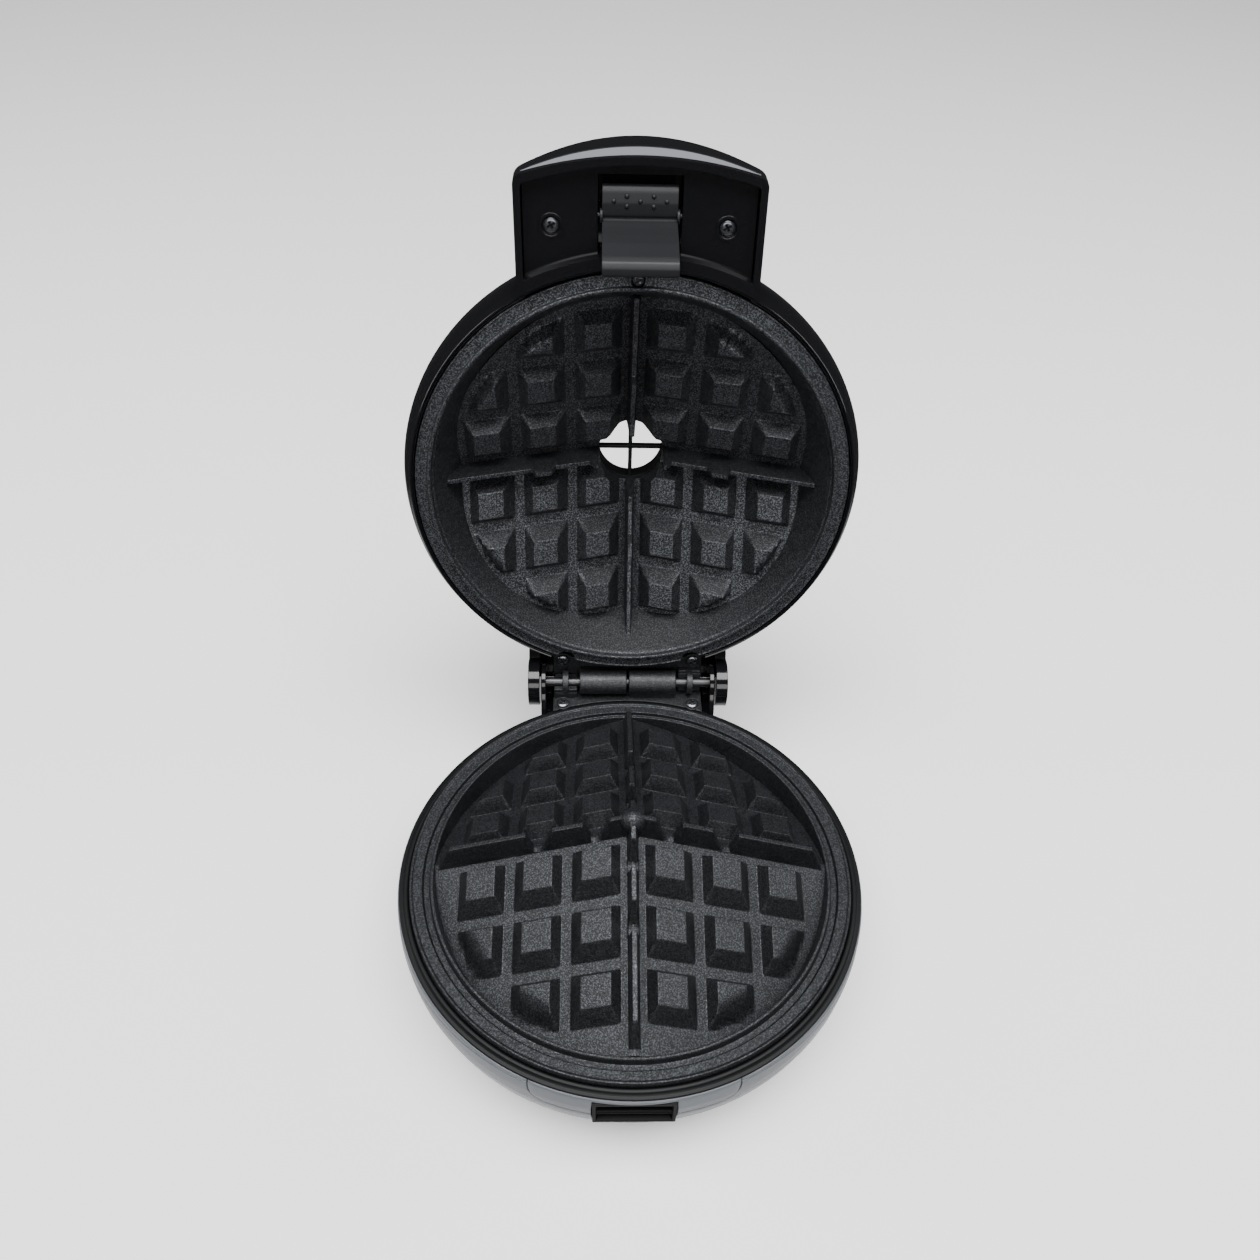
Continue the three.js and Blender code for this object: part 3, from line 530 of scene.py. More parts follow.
def waffle_tree():
    """The four facets of a baking plate with their blocks and ribs, as heights over a flat grid."""
    numbers = [("Apex", 32.0), ("Direction", 1.0), ("Block Height", 8.7), ("Block Top", 13.1),
               ("Clip Radius", 86.0), ("Rib Depth", 11.7), ("Tab Depth", 0.0), ("Fillet", 0.14)]
    tree, given, result = geometry_tree("waffle_surface", [(n, "NodeSocketFloat", v) for n, v in numbers]
                                        + [("Coat", "NodeSocketMaterial", None)])
    value = {n: Field(tree, given.outputs[n]) for n, _ in numbers}
    place = tree.nodes.new("GeometryNodeInputPosition")
    split = tree.nodes.new("ShaderNodeSeparateXYZ")
    tree.links.new(place.outputs[0], split.inputs[0])
    along = Field(tree, split.outputs[0]).size()
    across = (Field(tree, split.outputs[1]) - CAVITY_Y).size()
    half = BLOCK_BASE / 2
    wall = (value["Block Top"].less_from(BLOCK_BASE)) / 2.0
    first = BLOCK_START + half

    def block_share(distance):
        number = ((distance - first) / BLOCK_PITCH).calc("ROUND").most(0.0).least(2.0)
        centre = number * BLOCK_PITCH + first
        return number, (distance - centre).size().less_from(half) / wall

    column, share_x = block_share(along)
    row, share_y = block_share(across)
    radius = (along * along + across * across).calc("SQRT")
    outer = (column + row - 2.5).calc("SIGN")
    corner = (column + row - 3.5).calc("SIGN")
    clip = (value["Clip Radius"] - radius) / 3.7 + (outer.less_from(1.0)) * 50.0 - (corner + 1.0) * 50.0
    edge = share_x.least(share_y)
    roundness = (edge.less_from(1.0) * 0.35).most(value["Fillet"])
    share = share_x.least(share_y, roundness).least(clip, roundness)
    share = share.least(1.0, value["Fillet"]).most(0.0, value["Fillet"])
    blocks = share * value["Block Height"]

    def rib(run, off):
        side = off.less_from(RIB_FOOT_HALF) / (RIB_FOOT_HALF - RIB_TOP_HALF)
        teeth = teeth_of_rib(run, LOWER_TEETH).most(value["Tab Depth"].calc("SIGN") * 20.0 - 10.0)
        tabs = teeth_of_rib(run, UPPER_TABS).least(1.0).most(0.0) * value["Tab Depth"]
        rise = side.least(teeth).least(1.0, 0.1) * (value["Rib Depth"] + tabs)
        return rise + off * SLOPE * value["Direction"]

    height = blocks.most(rib(along, across), 0.5).most(rib(across, along), 0.5)
    facets = value["Apex"] - (along + across) * SLOPE
    level = facets + height * value["Direction"]
    merge = tree.nodes.new("ShaderNodeCombineXYZ")
    tree.links.new(split.outputs[0], merge.inputs[0])
    tree.links.new(split.outputs[1], merge.inputs[1])
    tree.links.new(level.socket, merge.inputs[2])
    setter = tree.nodes.new("GeometryNodeSetPosition")
    coat = tree.nodes.new("GeometryNodeSetMaterial")
    tree.links.new(given.outputs["Geometry"], setter.inputs["Geometry"])
    tree.links.new(merge.outputs[0], setter.inputs["Position"])
    tree.links.new(setter.outputs[0], coat.inputs["Geometry"])
    tree.links.new(given.outputs["Coat"], coat.inputs["Material"])
    tree.links.new(coat.outputs[0], result.inputs["Geometry"])
    return tree


def scatter_tree():
    """One shape repeated on each vertex, turned so that its own +Z follows the vertex's normal."""
    tree, given, result = geometry_tree(
        "repeat_on_points", [("Shape", "NodeSocketObject", None), ("Finish", "NodeSocketMaterial", None)])
    shape = tree.nodes.new("GeometryNodeObjectInfo")
    shape.transform_space = "ORIGINAL"
    facing = tree.nodes.new("GeometryNodeInputNamedAttribute")
    facing.data_type = "FLOAT_VECTOR"
    facing.inputs["Name"].default_value = "facing"
    turn = tree.nodes.new("FunctionNodeAlignRotationToVector")
    turn.axis = "Z"
    repeat = tree.nodes.new("GeometryNodeInstanceOnPoints")
    real = tree.nodes.new("GeometryNodeRealizeInstances")
    coat = tree.nodes.new("GeometryNodeSetMaterial")
    tree.links.new(given.outputs["Shape"], shape.inputs["Object"])
    tree.links.new(given.outputs["Geometry"], repeat.inputs["Points"])
    tree.links.new(shape.outputs["Geometry"], repeat.inputs["Instance"])
    tree.links.new(facing.outputs["Attribute"], turn.inputs["Vector"])
    tree.links.new(turn.outputs["Rotation"], repeat.inputs["Rotation"])
    tree.links.new(repeat.outputs["Instances"], real.inputs["Geometry"])
    tree.links.new(real.outputs["Geometry"], coat.inputs["Geometry"])
    tree.links.new(given.outputs["Finish"], coat.inputs["Material"])
    tree.links.new(coat.outputs["Geometry"], result.inputs["Geometry"])
    return tree


WAFFLE = waffle_tree()
REPEAT = scatter_tree()


def repeated(shape_shell, places, finish):
    """A shape set at each (point, direction), as one mesh."""
    shape = loose_object("shape", shape_shell)
    points = loose_object("places", ([p for p, _ in places], []))
    facing = points.data.attributes.new("facing", "FLOAT_VECTOR", "POINT")
    facing.data.foreach_set("vector", [c for _, direction in places for c in direction])
    mesh = grown(points, REPEAT, {"Shape": shape, "Finish": finish})
    bpy.data.objects.remove(shape)
    return mesh


# ---------- the baking plates ----------
def spaced(ordered, gap):
    """The values that lie more than a gap past the one kept before."""
    kept = [ordered[0]]
    for value in ordered[1:]:
        if value - kept[-1] > gap:
            kept.append(value)
    return kept


def grid_lines(top, reach, inner_step=None):
    """Where the grid's lines run on one side: close together at each edge of the pattern."""
    edge_offsets = (-0.9, -0.5, -0.2, 0.0, 0.2, 0.5, 0.9)
    lines = {0.0, 0.6, 0.95, 1.15, 1.35, 1.7, 2.05, 2.3, 2.6, 3.2, 4.2}
    for number in range(3):
        start = BLOCK_START + number * BLOCK_PITCH
        inset = (BLOCK_BASE - top) / 2
        for edge in (start, start + inset, start + BLOCK_BASE - inset, start + BLOCK_BASE):
            lines |= {round(edge + offset, 3) for offset in edge_offsets}
        lines |= {round(start + inset * share, 3) for share in (0.35, 0.65)}
        lines |= {round(start + BLOCK_BASE - inset * share, 3) for share in (0.35, 0.65)}
    for teeth in (LOWER_TEETH, UPPER_TABS):
        for span in teeth:
            lines |= {x for x in span if x is not None}
    lines |= {float(x) for x in np.arange(81.5, reach + 1.2, 1.3)}
    if inner_step:
        lines |= {round(float(x), 3) for x in np.arange(8.0, 19.0, inner_step)}
    kept = spaced(sorted(x for x in lines if x <= reach + 1.5), 0.12)
    filled = [kept[0]]
    for x in kept[1:]:
        extra = int((x - filled[-1]) // 2.6)
        filled.extend(np.linspace(filled[-1], x, extra + 2)[1:].tolist())
    return filled


def plate_disc(top, reach, hole=0.0, downward=False):
    """A flat grid cut to a circle, with its edge pulled onto the circle, and the same for a hole."""
    half = grid_lines(top, reach, 0.9 if hole else None)
    lines = np.array(sorted({-x for x in half} | set(half)))
    x, y = np.meshgrid(lines, lines, indexing="ij")
    radius = np.hypot(x, y)
    inside = (radius <= reach) & (radius >= hole)
    near = inside.copy()
    for di in (-1, 0, 1):
        for dj in (-1, 0, 1):
            near |= np.roll(np.roll(inside, di, 0), dj, 1)
    pulled_in = near & (radius > reach)
    pulled_out = near & (radius < hole)
    for mask, target in ((pulled_in, reach), (pulled_out, hole)):
        scale = target / np.maximum(radius[mask], 1e-6)
        x[mask] *= scale
        y[mask] *= scale
    index = -np.ones(x.shape, int)
    index[near] = np.arange(near.sum())
    vertices = np.column_stack([x[near], y[near] + CAVITY_Y, np.zeros(near.sum())])
    faces = []
    for i in range(len(lines) - 1):
        for j in range(len(lines) - 1):
            corners = [(i, j), (i + 1, j), (i + 1, j + 1), (i, j + 1)]
            if all(near[c] for c in corners) and any(inside[c] for c in corners):
                polygon = [int(index[c]) for c in corners]
                faces.append(polygon[::-1] if downward else polygon)
    used = np.zeros(len(vertices), bool)
    used[np.unique(np.array(faces))] = True
    renumber = np.cumsum(used) - 1
    return vertices[used].tolist(), [[int(renumber[i]) for i in f] for f in faces]


def thickened(mesh, apex, rise):
    """The waffle surface closed by a plain copy of its facets, set off from them."""
    count = len(mesh.vertices)
    points = np.array([v.co for v in mesh.vertices])
    backs = points.copy()
    backs[:, 2] = apex - SLOPE * (np.abs(points[:, 0]) + np.abs(points[:, 1] - CAVITY_Y)) + rise
    faces = [list(p.vertices) for p in mesh.polygons]
    border = {}
    for face in faces:
        for a, b in zip(face, face[1:] + face[:1]):
            border[(a, b)] = True
    walls = [[b, a, count + a, count + b] for a, b in border if (b, a) not in border]
    turned_over = [[count + i for i in face[::-1]] for face in faces]
    return np.vstack([points, backs]).tolist(), faces + turned_over + walls


def baking_floor(blocks, apex, up, rib, tab, coat, disc):
    """The waffle surface over a flat disc, with its blocks upwards or downwards, and its plain back."""
    surface = grown(loose_object("grid", disc), WAFFLE, {
        "Apex": apex, "Direction": up, "Block Height": blocks["height"], "Block Top": blocks["top"],
        "Clip Radius": blocks["clip"], "Rib Depth": rib, "Tab Depth": tab, "Fillet": 0.07, "Coat": coat})
    return thickened(surface, apex, -3.0 * up)


def lower_plate_casting():
    floor = baking_floor(LOWER_BLOCK, LOWER_APEX, 1.0, 11.7, 0.0, NON_STICK,
                         plate_disc(LOWER_BLOCK["top"], 93.0))
    rim = lathe(rounded([
        (88.9, -14.6), (92.35, 1.6), (92.7, 2.95), (93.9, 2.95), (94.4, 2.0), (94.7, -0.9), (97.5, -0.9),
        (98.0, 0.95), (102.3, 1.0), (102.8, 1.75), (103.7, 1.75), (104.25, 0.3), (104.25, -5.4),
        (101.0, -5.4), (95.4, -5.0), (94.4, -14.6)], 0.4))
    ball = at(lathe([(0, -5.6)] + [(5.7 * math.sin(a), -5.7 * math.cos(a))
                                   for a in np.linspace(0.2, math.pi - 0.02, 24)] + [(0, 5.7)], 40),
              y=CAVITY_Y, z=39.3)
    neck = at(lathe(rounded([(0, 27), (4.6, 27), (3.6, 35.5), (0, 35.5)], 0.5), 32), y=CAVITY_Y)
    return joined(floor, rim, ball, neck)


def upper_plate_casting():
    floor = baking_floor(UPPER_BLOCK, UPPER_APEX, -1.0, 14.5, 5.5, LID_COAT_PAINTED_BRIGHTER,
                         plate_disc(UPPER_BLOCK["top"], 88.6, HOLE_RADIUS, downward=True))
    rim = lathe(rounded([
        (80.9, 36.5), (93.6, 5.2), (94.3, 4.2), (94.6, 2.3), (95.1, 1.9), (95.9, 1.9), (96.3, 2.3),
        (96.6, 3.75), (101.0, 3.8), (101.5, 3.4), (102.1, 3.8), (102.1, 7.2), (97.4, 8.2),
        (84.9, 37.5)], 0.4))
    boss = at(lathe(rounded([(2.95, 3.1), (4.1, 3.1), (4.1, 7.0), (2.95, 7.0)], 0.4), 40), y=PLATE_SCREW_Y)
    well = at(lathe([(0, 0), (2.95, 0), (2.95, 5.6), (0, 5.6)], 40), y=PLATE_SCREW_Y)
    notches = [at(lathe([(0, 0), (5.4, 0), (5.4, 12), (0, 12)], 48), x=side * 33.2, y=98.0)
               for side in (-1, 1)]
    return joined(floor, carved(rim, well, *notches), boss)


finished("lower_plate_casting", lower_plate_casting(), "base", "non_stick_casting", NON_STICK,
         ["lower_plate"], smooth_angle=50, weld=False)
finished("upper_plate_casting", upper_plate_casting(), "lid", "non_stick_casting", LID_COAT_PAINTED_BRIGHTER,
         ["upper_plate"], smooth_angle=50, weld=False)


# ---------- the base's housing ----------
BODY_PROFILE = [(-3.2, 109.4), (-3.9, 109.9), (-6, 110.15), (-12, 110.6), (-20, 110.2), (-29, 108.4),
                (-38, 104.6), (-46, 100.2), (-52.4, 96.2), (-55, 94.0)]
HOUSING_RADIUS, HOUSING_TOP, HOUSING_FOOT = 110.0, -3.3, -55.0
PANEL_HALF, PANEL_BOTTOM, PANEL_CORNER = 45.0, -17.5, 9.0
NOTCH_HALF, NOTCH_TOP, NOTCH_BOTTOM = 17.8, -5.6, -25.0
NOTCH_GAP = 0.3
SEAM = 0.3
SEAM_FRONT, SEAM_FALL, SEAM_DROP = -3.4, 16.6, 1.6
EDGE_ROUND = 0.45


def body_radius(z):
    heights = [p[0] for p in BODY_PROFILE][::-1]
    radii = [p[1] for p in BODY_PROFILE][::-1]
    return float(np.interp(z, heights, radii))


def parting_line(angle):
    """Height of the seam under the upper band, by the angle from the front."""
    turn = min(abs(angle), math.pi / 2)
    start = math.radians(24.2)
    if turn <= start:
        return SEAM_FRONT
    return SEAM_FRONT - SEAM_FALL * ((turn - start) / (math.pi / 2 - start)) ** 2.0


def panel_edge(x):
    """Height of the front panel's lower edge, with its rounded corners."""
    over = abs(x) - (PANEL_HALF - PANEL_CORNER)
    if over <= 0:
        return PANEL_BOTTOM
    over = min(over, PANEL_CORNER)
    return PANEL_BOTTOM + PANEL_CORNER - math.sqrt(PANEL_CORNER ** 2 - over ** 2)


def wrapped(angles, low, high, thickness, rows=14, ends=True):
    """A curved panel of the housing between two heights, with rounded edges. Angles count from the front."""
    count = len(angles)
    ring_offsets = [0.0, 0.12, 0.25, EDGE_ROUND]
    outer, inner = [], []
    for angle in angles:
        bottom, top = low(angle), high(angle)
        span = max(top - bottom, 0.5)
        inset = [min(o, span * 0.3) for o in ring_offsets]
        middle = np.linspace(bottom + inset[-1], top - inset[-1], rows)[1:-1]
        levels = [bottom + o for o in inset] + list(middle) + [top - o for o in inset[::-1]]
        for z in levels:
            side = min(z - bottom, top - z)
            if ends:
                side = min(side, (angle - angles[0]) * HOUSING_RADIUS, (angles[-1] - angle) * HOUSING_RADIUS)
            dip = EDGE_ROUND - math.sqrt(max(EDGE_ROUND ** 2 - (EDGE_ROUND - min(side, EDGE_ROUND)) ** 2, 0))
            for wall, depth_in in ((outer, dip), (inner, thickness)):
                radius = body_radius(z) - depth_in
                wall.append((radius * math.sin(angle), -radius * math.cos(angle), z))
    depth = len(outer) // count
    vertices = outer + inner
    start = len(outer)
    faces = []
    for i in range(count - 1 if ends else count):
        n = (i + 1) % count
        for j in range(depth - 1):
            a, b, c, d = i * depth + j, n * depth + j, n * depth + j + 1, i * depth + j + 1
            faces.append([a, b, c, d])
            faces.append([start + d, start + c, start + b, start + a])
        for j, flip in ((0, False), (depth - 1, True)):
            quad = [i * depth + j, start + i * depth + j, start + n * depth + j, n * depth + j]
            faces.append(quad[::-1] if flip else quad)
    if ends:
        for i in (0, count - 1):
            for j in range(depth - 1):
                a = i * depth + j
                faces.append([a, a + 1, start + a + 1, start + a])
    return vertices, faces


def angle_at(x):
    return math.asin(x / HOUSING_RADIUS)


def front_angles(half, extra=()):
    """Angles across the front, with pairs close together where an edge steps."""
    marks = set(np.linspace(-half, half, 61).tolist())
    for x in extra:
        for offset in (-0.35, -0.2, 0.2, 0.35):
            marks |= {x + offset, -x + offset}
    return [angle_at(m) for m in spaced(sorted(m for m in marks if -half <= m <= half), 0.05)]


def front_panel():
    half = PANEL_HALF - SEAM / 2

    def low(angle):
        x = HOUSING_RADIUS * math.sin(angle)
        return NOTCH_TOP + NOTCH_GAP if abs(x) < NOTCH_HALF + NOTCH_GAP else panel_edge(x) + SEAM / 2

    return wrapped(front_angles(half, (NOTCH_HALF + NOTCH_GAP, 38, 42)), low, lambda angle: HOUSING_TOP, 2.0)


def upper_band():
    """The slim upper band of the housing, from one side of the front panel round to the other."""
    start = angle_at(PANEL_HALF + SEAM)
    angles = np.linspace(start, 2 * math.pi - start, 200)

    def low(angle):
        return parting_line(min(angle, 2 * math.pi - angle)) + SEAM / 2 - SEAM_DROP

    return wrapped(list(angles), low, lambda angle: HOUSING_TOP, 2.0, rows=8)


def lower_body():
    step = PANEL_HALF + 0.25
    turn = sorted(set(np.linspace(-math.pi, math.pi, 181)[:-1].tolist())
                  | {angle_at(x) + o for x in (-step, step, -NOTCH_HALF - NOTCH_GAP, NOTCH_HALF + NOTCH_GAP)
                     for o in (-0.0016, 0.0016)}
                  | {angle_at(x) for x in np.linspace(-44.9, 44.9, 61)})

    def high(angle):
        x = HOUSING_RADIUS * math.sin(angle)
        if abs(angle) < math.pi / 2 and abs(x) < NOTCH_HALF + NOTCH_GAP:
            return NOTCH_BOTTOM - 0.2
        if abs(angle) < math.pi / 2 and abs(x) < step:
            return panel_edge(x) - SEAM / 2
        return parting_line(angle) - SEAM / 2 - SEAM_DROP

    return wrapped(spaced(turn, 0.0008), lambda angle: HOUSING_FOOT, high, 2.2, rows=26, ends=False)


finished("front_panel", joined(front_panel(), upper_band()), "base", "grey_housing", GREY_GLOSS,
         ["base_bezel"], smooth_angle=50)
finished("housing_bowl", lower_body(), "base", "grey_housing", GREY_GLOSS, ["base_body"], smooth_angle=50)
finished("collar_ring", lathe(rounded([
    (104.6, -6.5), (104.6, -1.0), (105.3, -0.35), (106.5, -0.5), (107.0, -1.5), (107.6, -2.0), (108.9, -2.1),
    (109.3, -2.9), (108.1, -3.4), (108.1, -6.5)], 0.3)), "base", "black_gloss", COLLAR_BLACK, ["base_collar"])


def notch_lining():
    """The latch's catch: a pocket with slanted cheeks, a hood above it and the ledge that holds the hook."""
    outer = block(-NOTCH_HALF, NOTCH_HALF, -109.6, -98, NOTCH_BOTTOM, NOTCH_TOP)
    pocket_profile = [(-115, NOTCH_TOP - 1.2), (-104.6, NOTCH_TOP - 3.0), (-103.4, -12), (-103.4, -22.6),
                      (-115, NOTCH_BOTTOM + 1.0)]
    pocket = along_x(pocket_profile, -NOTCH_HALF + 1.6, NOTCH_HALF - 1.6)
    shell = softened(carved(outer, pocket), 0.35, 2)
    ledge_profile = [(-102, -15.2), (-108.4, -15.2), (-109.2, -16.2), (-108.8, -17.5), (-102, -17.5)]
    ledge = softened(along_x(ledge_profile, -NOTCH_HALF + 1.4, NOTCH_HALF - 1.4), 0.25, 2)
    cheeks = []
    for side in (1, -1):
        corners = [(side * (NOTCH_HALF - 1.5), -109.2), (side * (NOTCH_HALF - 4.4), -104),
                   (side * (NOTCH_HALF - 1.5), -104)][::side]
        cheeks.append(softened(prism(corners, NOTCH_BOTTOM + 1.2, NOTCH_TOP - 1.4), 0.2, 2))
    return joined(shell, ledge, *cheeks)


finished("latch_catch_lining", notch_lining(), "base", "black_gloss", LINING_BLACK, ["latch_catch"])
finished("bottom_plate", lathe(rounded([
    (0, -57.5), (40, -57.5), (40.6, -56.7), (42.2, -56.7), (42.8, -57.5), (88, -57.5), (92.6, -57.2),
    (93.1, -55.4), (0, -55.4)], 0.5), 160), "base", "black_satin", BLACK_SATIN, ["bottom_cover"])
FEET = [(-58, -60), (58, -60), (-34, 110), (34, 110)]
foot = lathe(rounded([(0, -2.1), (7.2, -2.1), (8.4, -1.6), (9.4, -0.1), (9.4, 0), (0, 0)], 0.5), 32)
finished("rubber_feet", repeated(foot, [((x, y, -57.9), (0, 0, 1)) for x, y in FEET], RUBBER), "base",
         "rubber", RUBBER, ["foot_front_left", "foot_front_right", "foot_rear_left", "foot_rear_right"])


# ---------- the hinge ----------
def arc(centre, radius, start, end, steps=20):
    """Points on an arc, its angles in degrees."""
    return [(centre[0] + radius * math.cos(math.radians(a)), centre[1] + radius * math.sin(math.radians(a)))
            for a in np.linspace(start, end, steps)]


def hinge_casting():
    """One hinge casting, with its long barrel to the right and its half knuckle and web to the left."""
    near = BRACKET_FACE
    half = 40.0
    rim = 107.6
    reach = math.degrees(math.asin(half / rim))
    back = HINGE_Y + 3.4
    outline = [(half, back), (-half, back)] + arc((0, 0), rim, 90 + reach, 90 - reach, 25)
    plate = softened(prism(outline[::-1], near - 2.5, near), 0.45, 2)
    barrel = at(lathe(rounded([(2.9, 0.6), (6.5, 0.6), (6.5, 25.8), (2.9, 25.8)], 0.7, 4), 64, "X"),
                y=HINGE_Y, z=HINGE_Z)
    under_barrel = [(HINGE_Y - 5.2, near - 0.5), (HINGE_Y + 3.2, near - 0.5),
                    (HINGE_Y + 3.2, HINGE_Z - 1), (HINGE_Y - 5.2, HINGE_Z - 4)]
    saddle = softened(along_x(under_barrel, 0.8, 25.6), 0.4, 2)
    under_pin = [(HINGE_Y - 5.3, near - 0.6), (back, near - 0.6),
                 (back, HINGE_Z - 3.2), (HINGE_Y - 5.3, HINGE_Z - 3.2)]
    knuckle = softened(along_x(under_pin, -39.4, -27.2), 0.6, 3)
    cradle = along_x([(HINGE_Y + y, HINGE_Z + z) for y, z in arc((0, 0), 5.9, 180, 360, 24)]
                     + [(HINGE_Y + y, HINGE_Z + z) for y, z in arc((0, 0), 2.9, 360, 180, 24)], -39.4, -27.2)
    web = at(lathe(rounded([(2.9, -34.9), (6.3, -34.9), (6.3, -31.7), (2.9, -31.7)], 0.4, 3), 48, "X"),
             y=HINGE_Y, z=HINGE_Z)
    boss = lathe(rounded([(3.55, near - 0.6), (3.55, near + 0.5), (4.5, near + 0.5), (4.5, near - 0.6)],
                         0.25), 40)
    bosses = [at(boss, x=side * SCREW_X, y=SCREW_Y) for side in (-1, 1)]
    return joined(plate, barrel, saddle, knuckle, softened(cradle, 0.4, 2), web, *bosses)


casting = hinge_casting()
flip = (Matrix.Translation((0, HINGE_Y, HINGE_Z)) @ Matrix.Rotation(math.pi, 4, "Y")
        @ Matrix.Translation((0, -HINGE_Y, -HINGE_Z)))
finished("lower_hinge_casting", casting, "base", "non_stick_casting", HINGE_COAT, ["lower_hinge_bracket"])
finished("upper_hinge_casting", moved(casting, flip), "lid", "non_stick_casting", HINGE_COAT,
         ["upper_hinge_bracket"])


def hinge_stand():
    """The black housing behind the base, with a cheek at each end of the pin."""
    stand = softened(block(-46.2, 46.2, 92, 123.7, -57.3, -7), 2.2, 4)
    cheeks = []
    for side in (-1, 1):
        x0, x1 = sorted((side * 43.6, side * 46.2))
        profile = (arc((HINGE_Y, HINGE_Z), 10.2, -10, 175, 28)
                   + [(99, 1.0), (97.5, -9), (123.6, -9), (123.6, 0)])
        cheeks.append(softened(along_x(profile, x0, x1), 0.5, 3))
    stops = [softened(block(*sorted((side * 40.8, side * 43.8)), 112, 123, -9, 0.5), 0.4, 2)
             for side in (-1, 1)]
    wall = softened(block(-44, 44, 120.4, 123.6, -10, -0.2), 0.6, 3)
    return joined(stand, wall, *cheeks, *stops)


finished("hinge_stand", hinge_stand(), "base", "black_gloss", BLACK_GLOSS, ["hinge_housing"])


def pin(radius, half, fillet, sides, y, z):
    """A straight pin across the machine, with rounded ends."""
    profile = rounded([(0, -half), (radius, -half), (radius, half), (0, half)], fillet)
    return at(lathe(profile, sides, "X"), y=y, z=z)


finished("hinge_pin_rod", pin(2.55, 45.8, 0.4, 40, HINGE_Y, HINGE_Z), "base", "steel_pin", STEEL_PAINTED_DARK,
         ["hinge_pin"])
GLAND_Y = 123.7
gland = lathe(rounded([
    (3.4, -5.9), (8.1, -5.9), (8.1, -2.9), (5.9, -2.9), (5.9, 0.3), (8.2, 0.3), (8.2, 3.2), (6.4, 3.6),
    (6.2, 5.0), (6.6, 5.4), (6.3, 6.8), (5.8, 7.2), (5.9, 8.6), (5.6, 9.0), (5.2, 10.2), (3.4, 10.2)], 0.3),
    48, "Y")
finished("lead_bush", at(gland, y=GLAND_Y, z=-36), "base", "rubber", RUBBER, ["cord_gland"])


# ---------- the lid's shell and handle ----------
LID_OUTER = [(103.9, 3.2), (104.4, 3.6), (105.2, 5.2), (107.2, 9.2), (108.35, 14.5), (108, 21), (106, 28),
             (102.4, 35.5), (96.6, 44.8), (87, 54),
             (72, 61.5), (54, 66), (36, 68), (30, 68), (25.5, 67.2), (22, 65.6), (19.2, 64.6), (18.1, 63.6)]
LID_INNER = [(18.1, 60.5), (28, 64.5), (36, 65.6), (54, 63.6), (71, 59.2), (85.4, 52), (94.6, 43), (100, 34),
             (103.4, 27), (105.4, 20.5), (105.8, 14.5), (104.4, 9.5), (102.9, 7), (102.55, 5), (102.6, 3.6),
             (103.0, 3.4), (103.25, 3.9), (103.5, 3.4)]


def smooth_curve(points, per_span=5):
    """A smooth line through points."""
    count = len(points)
    result = []
    for i in range(count - 1):
        p = [np.array(points[min(max(i + k, 0), count - 1)], float) for k in (-1, 0, 1, 2)]
        bend, twist = 2 * p[0] - 5 * p[1] + 4 * p[2] - p[3], 3 * p[1] - p[0] - 3 * p[2] + p[3]
        for k in range(per_span):
            t = k / per_span
            result.append(tuple(0.5 * (2 * p[1] + (p[2] - p[0]) * t + bend * t ** 2 + twist * t ** 3)))
    return result + [tuple(points[-1])]


HANDLE_HALF, HANDLE_CORNER_Y, HANDLE_END_Y = 50.8, -139.0, -146.5
HANDLE_CROWN, HANDLE_FALL, HANDLE_LEAN = 26.5, 18.0, 0.1
HANDLE_FOOT, HANDLE_WALL, HANDLE_SKIN = 1.0, 3.0, 2.4


def handle_outline(inset, root_radius, corner=3.4):
    """The handle seen from below: straight sides, a bowed end and a root that follows the lid's rim."""
    half = HANDLE_HALF - inset
    corner_y, end_y = HANDLE_CORNER_Y + inset, HANDLE_END_Y + inset
    corner = max(corner - inset * 0.6, 1.0)

    def bow(x):
        return end_y + (corner_y - end_y) * (x / half) ** 2

    def turned(start, middle, end):
        start, middle, end = Vector(start), Vector(middle), Vector(end)
        return [tuple(start * (1 - t) ** 2 + middle * 2 * t * (1 - t) + end * t * t)
                for t in np.linspace(0, 1, 9)]

    root = [(x, -math.sqrt(root_radius ** 2 - x * x)) for x in np.linspace(half, -half, 33)]
    left = turned((-half, corner_y + corner), (-half, corner_y), (-half + corner, bow(half - corner)))
    right = turned((half - corner, bow(half - corner)), (half, corner_y), (half, corner_y + corner))
    middle = [(x, bow(x)) for x in np.linspace(-half + corner, half - corner, 33)[1:-1]]
    return root + left + middle + right


def leaning(shell):
    """A shell of the handle with its end face leaning out."""
    return [(x, y - HANDLE_LEAN * (z - HANDLE_FOOT), z) for x, y, z in shell[0]], shell[1]


def above_arch(crown, fall):
    """Everything above an arch that spans the handle."""
    xs = np.linspace(-56, 56, 57)
    profile = [(float(x), crown - fall * float(x / HANDLE_HALF) ** 2) for x in xs] + [(56, 60), (-56, 60)]
    vertices, faces = prism(profile, 60, 170)
    return [(x, -z, y) for x, y, z in vertices], faces


def lid_cheek(side):
    x0, x1 = sorted((side * 46.9, side * 53.0))
    profile = (arc((HINGE_Y, HINGE_Z), 12.6, 150, 372, 36) + [(125.5, 22), (119, 31), (104, 36), (92, 38),
                                                             (88, 34), (92, 22), (99, 16)])
    return softened(along_x(profile, x0, x1), 0.35, 3)


def under_arch(outline, foot, top, crown):
    """A leaning prism of the handle with its top cut to the arch."""
    return carved(leaning(prism(outline, foot, top)), above_arch(crown, HANDLE_FALL))


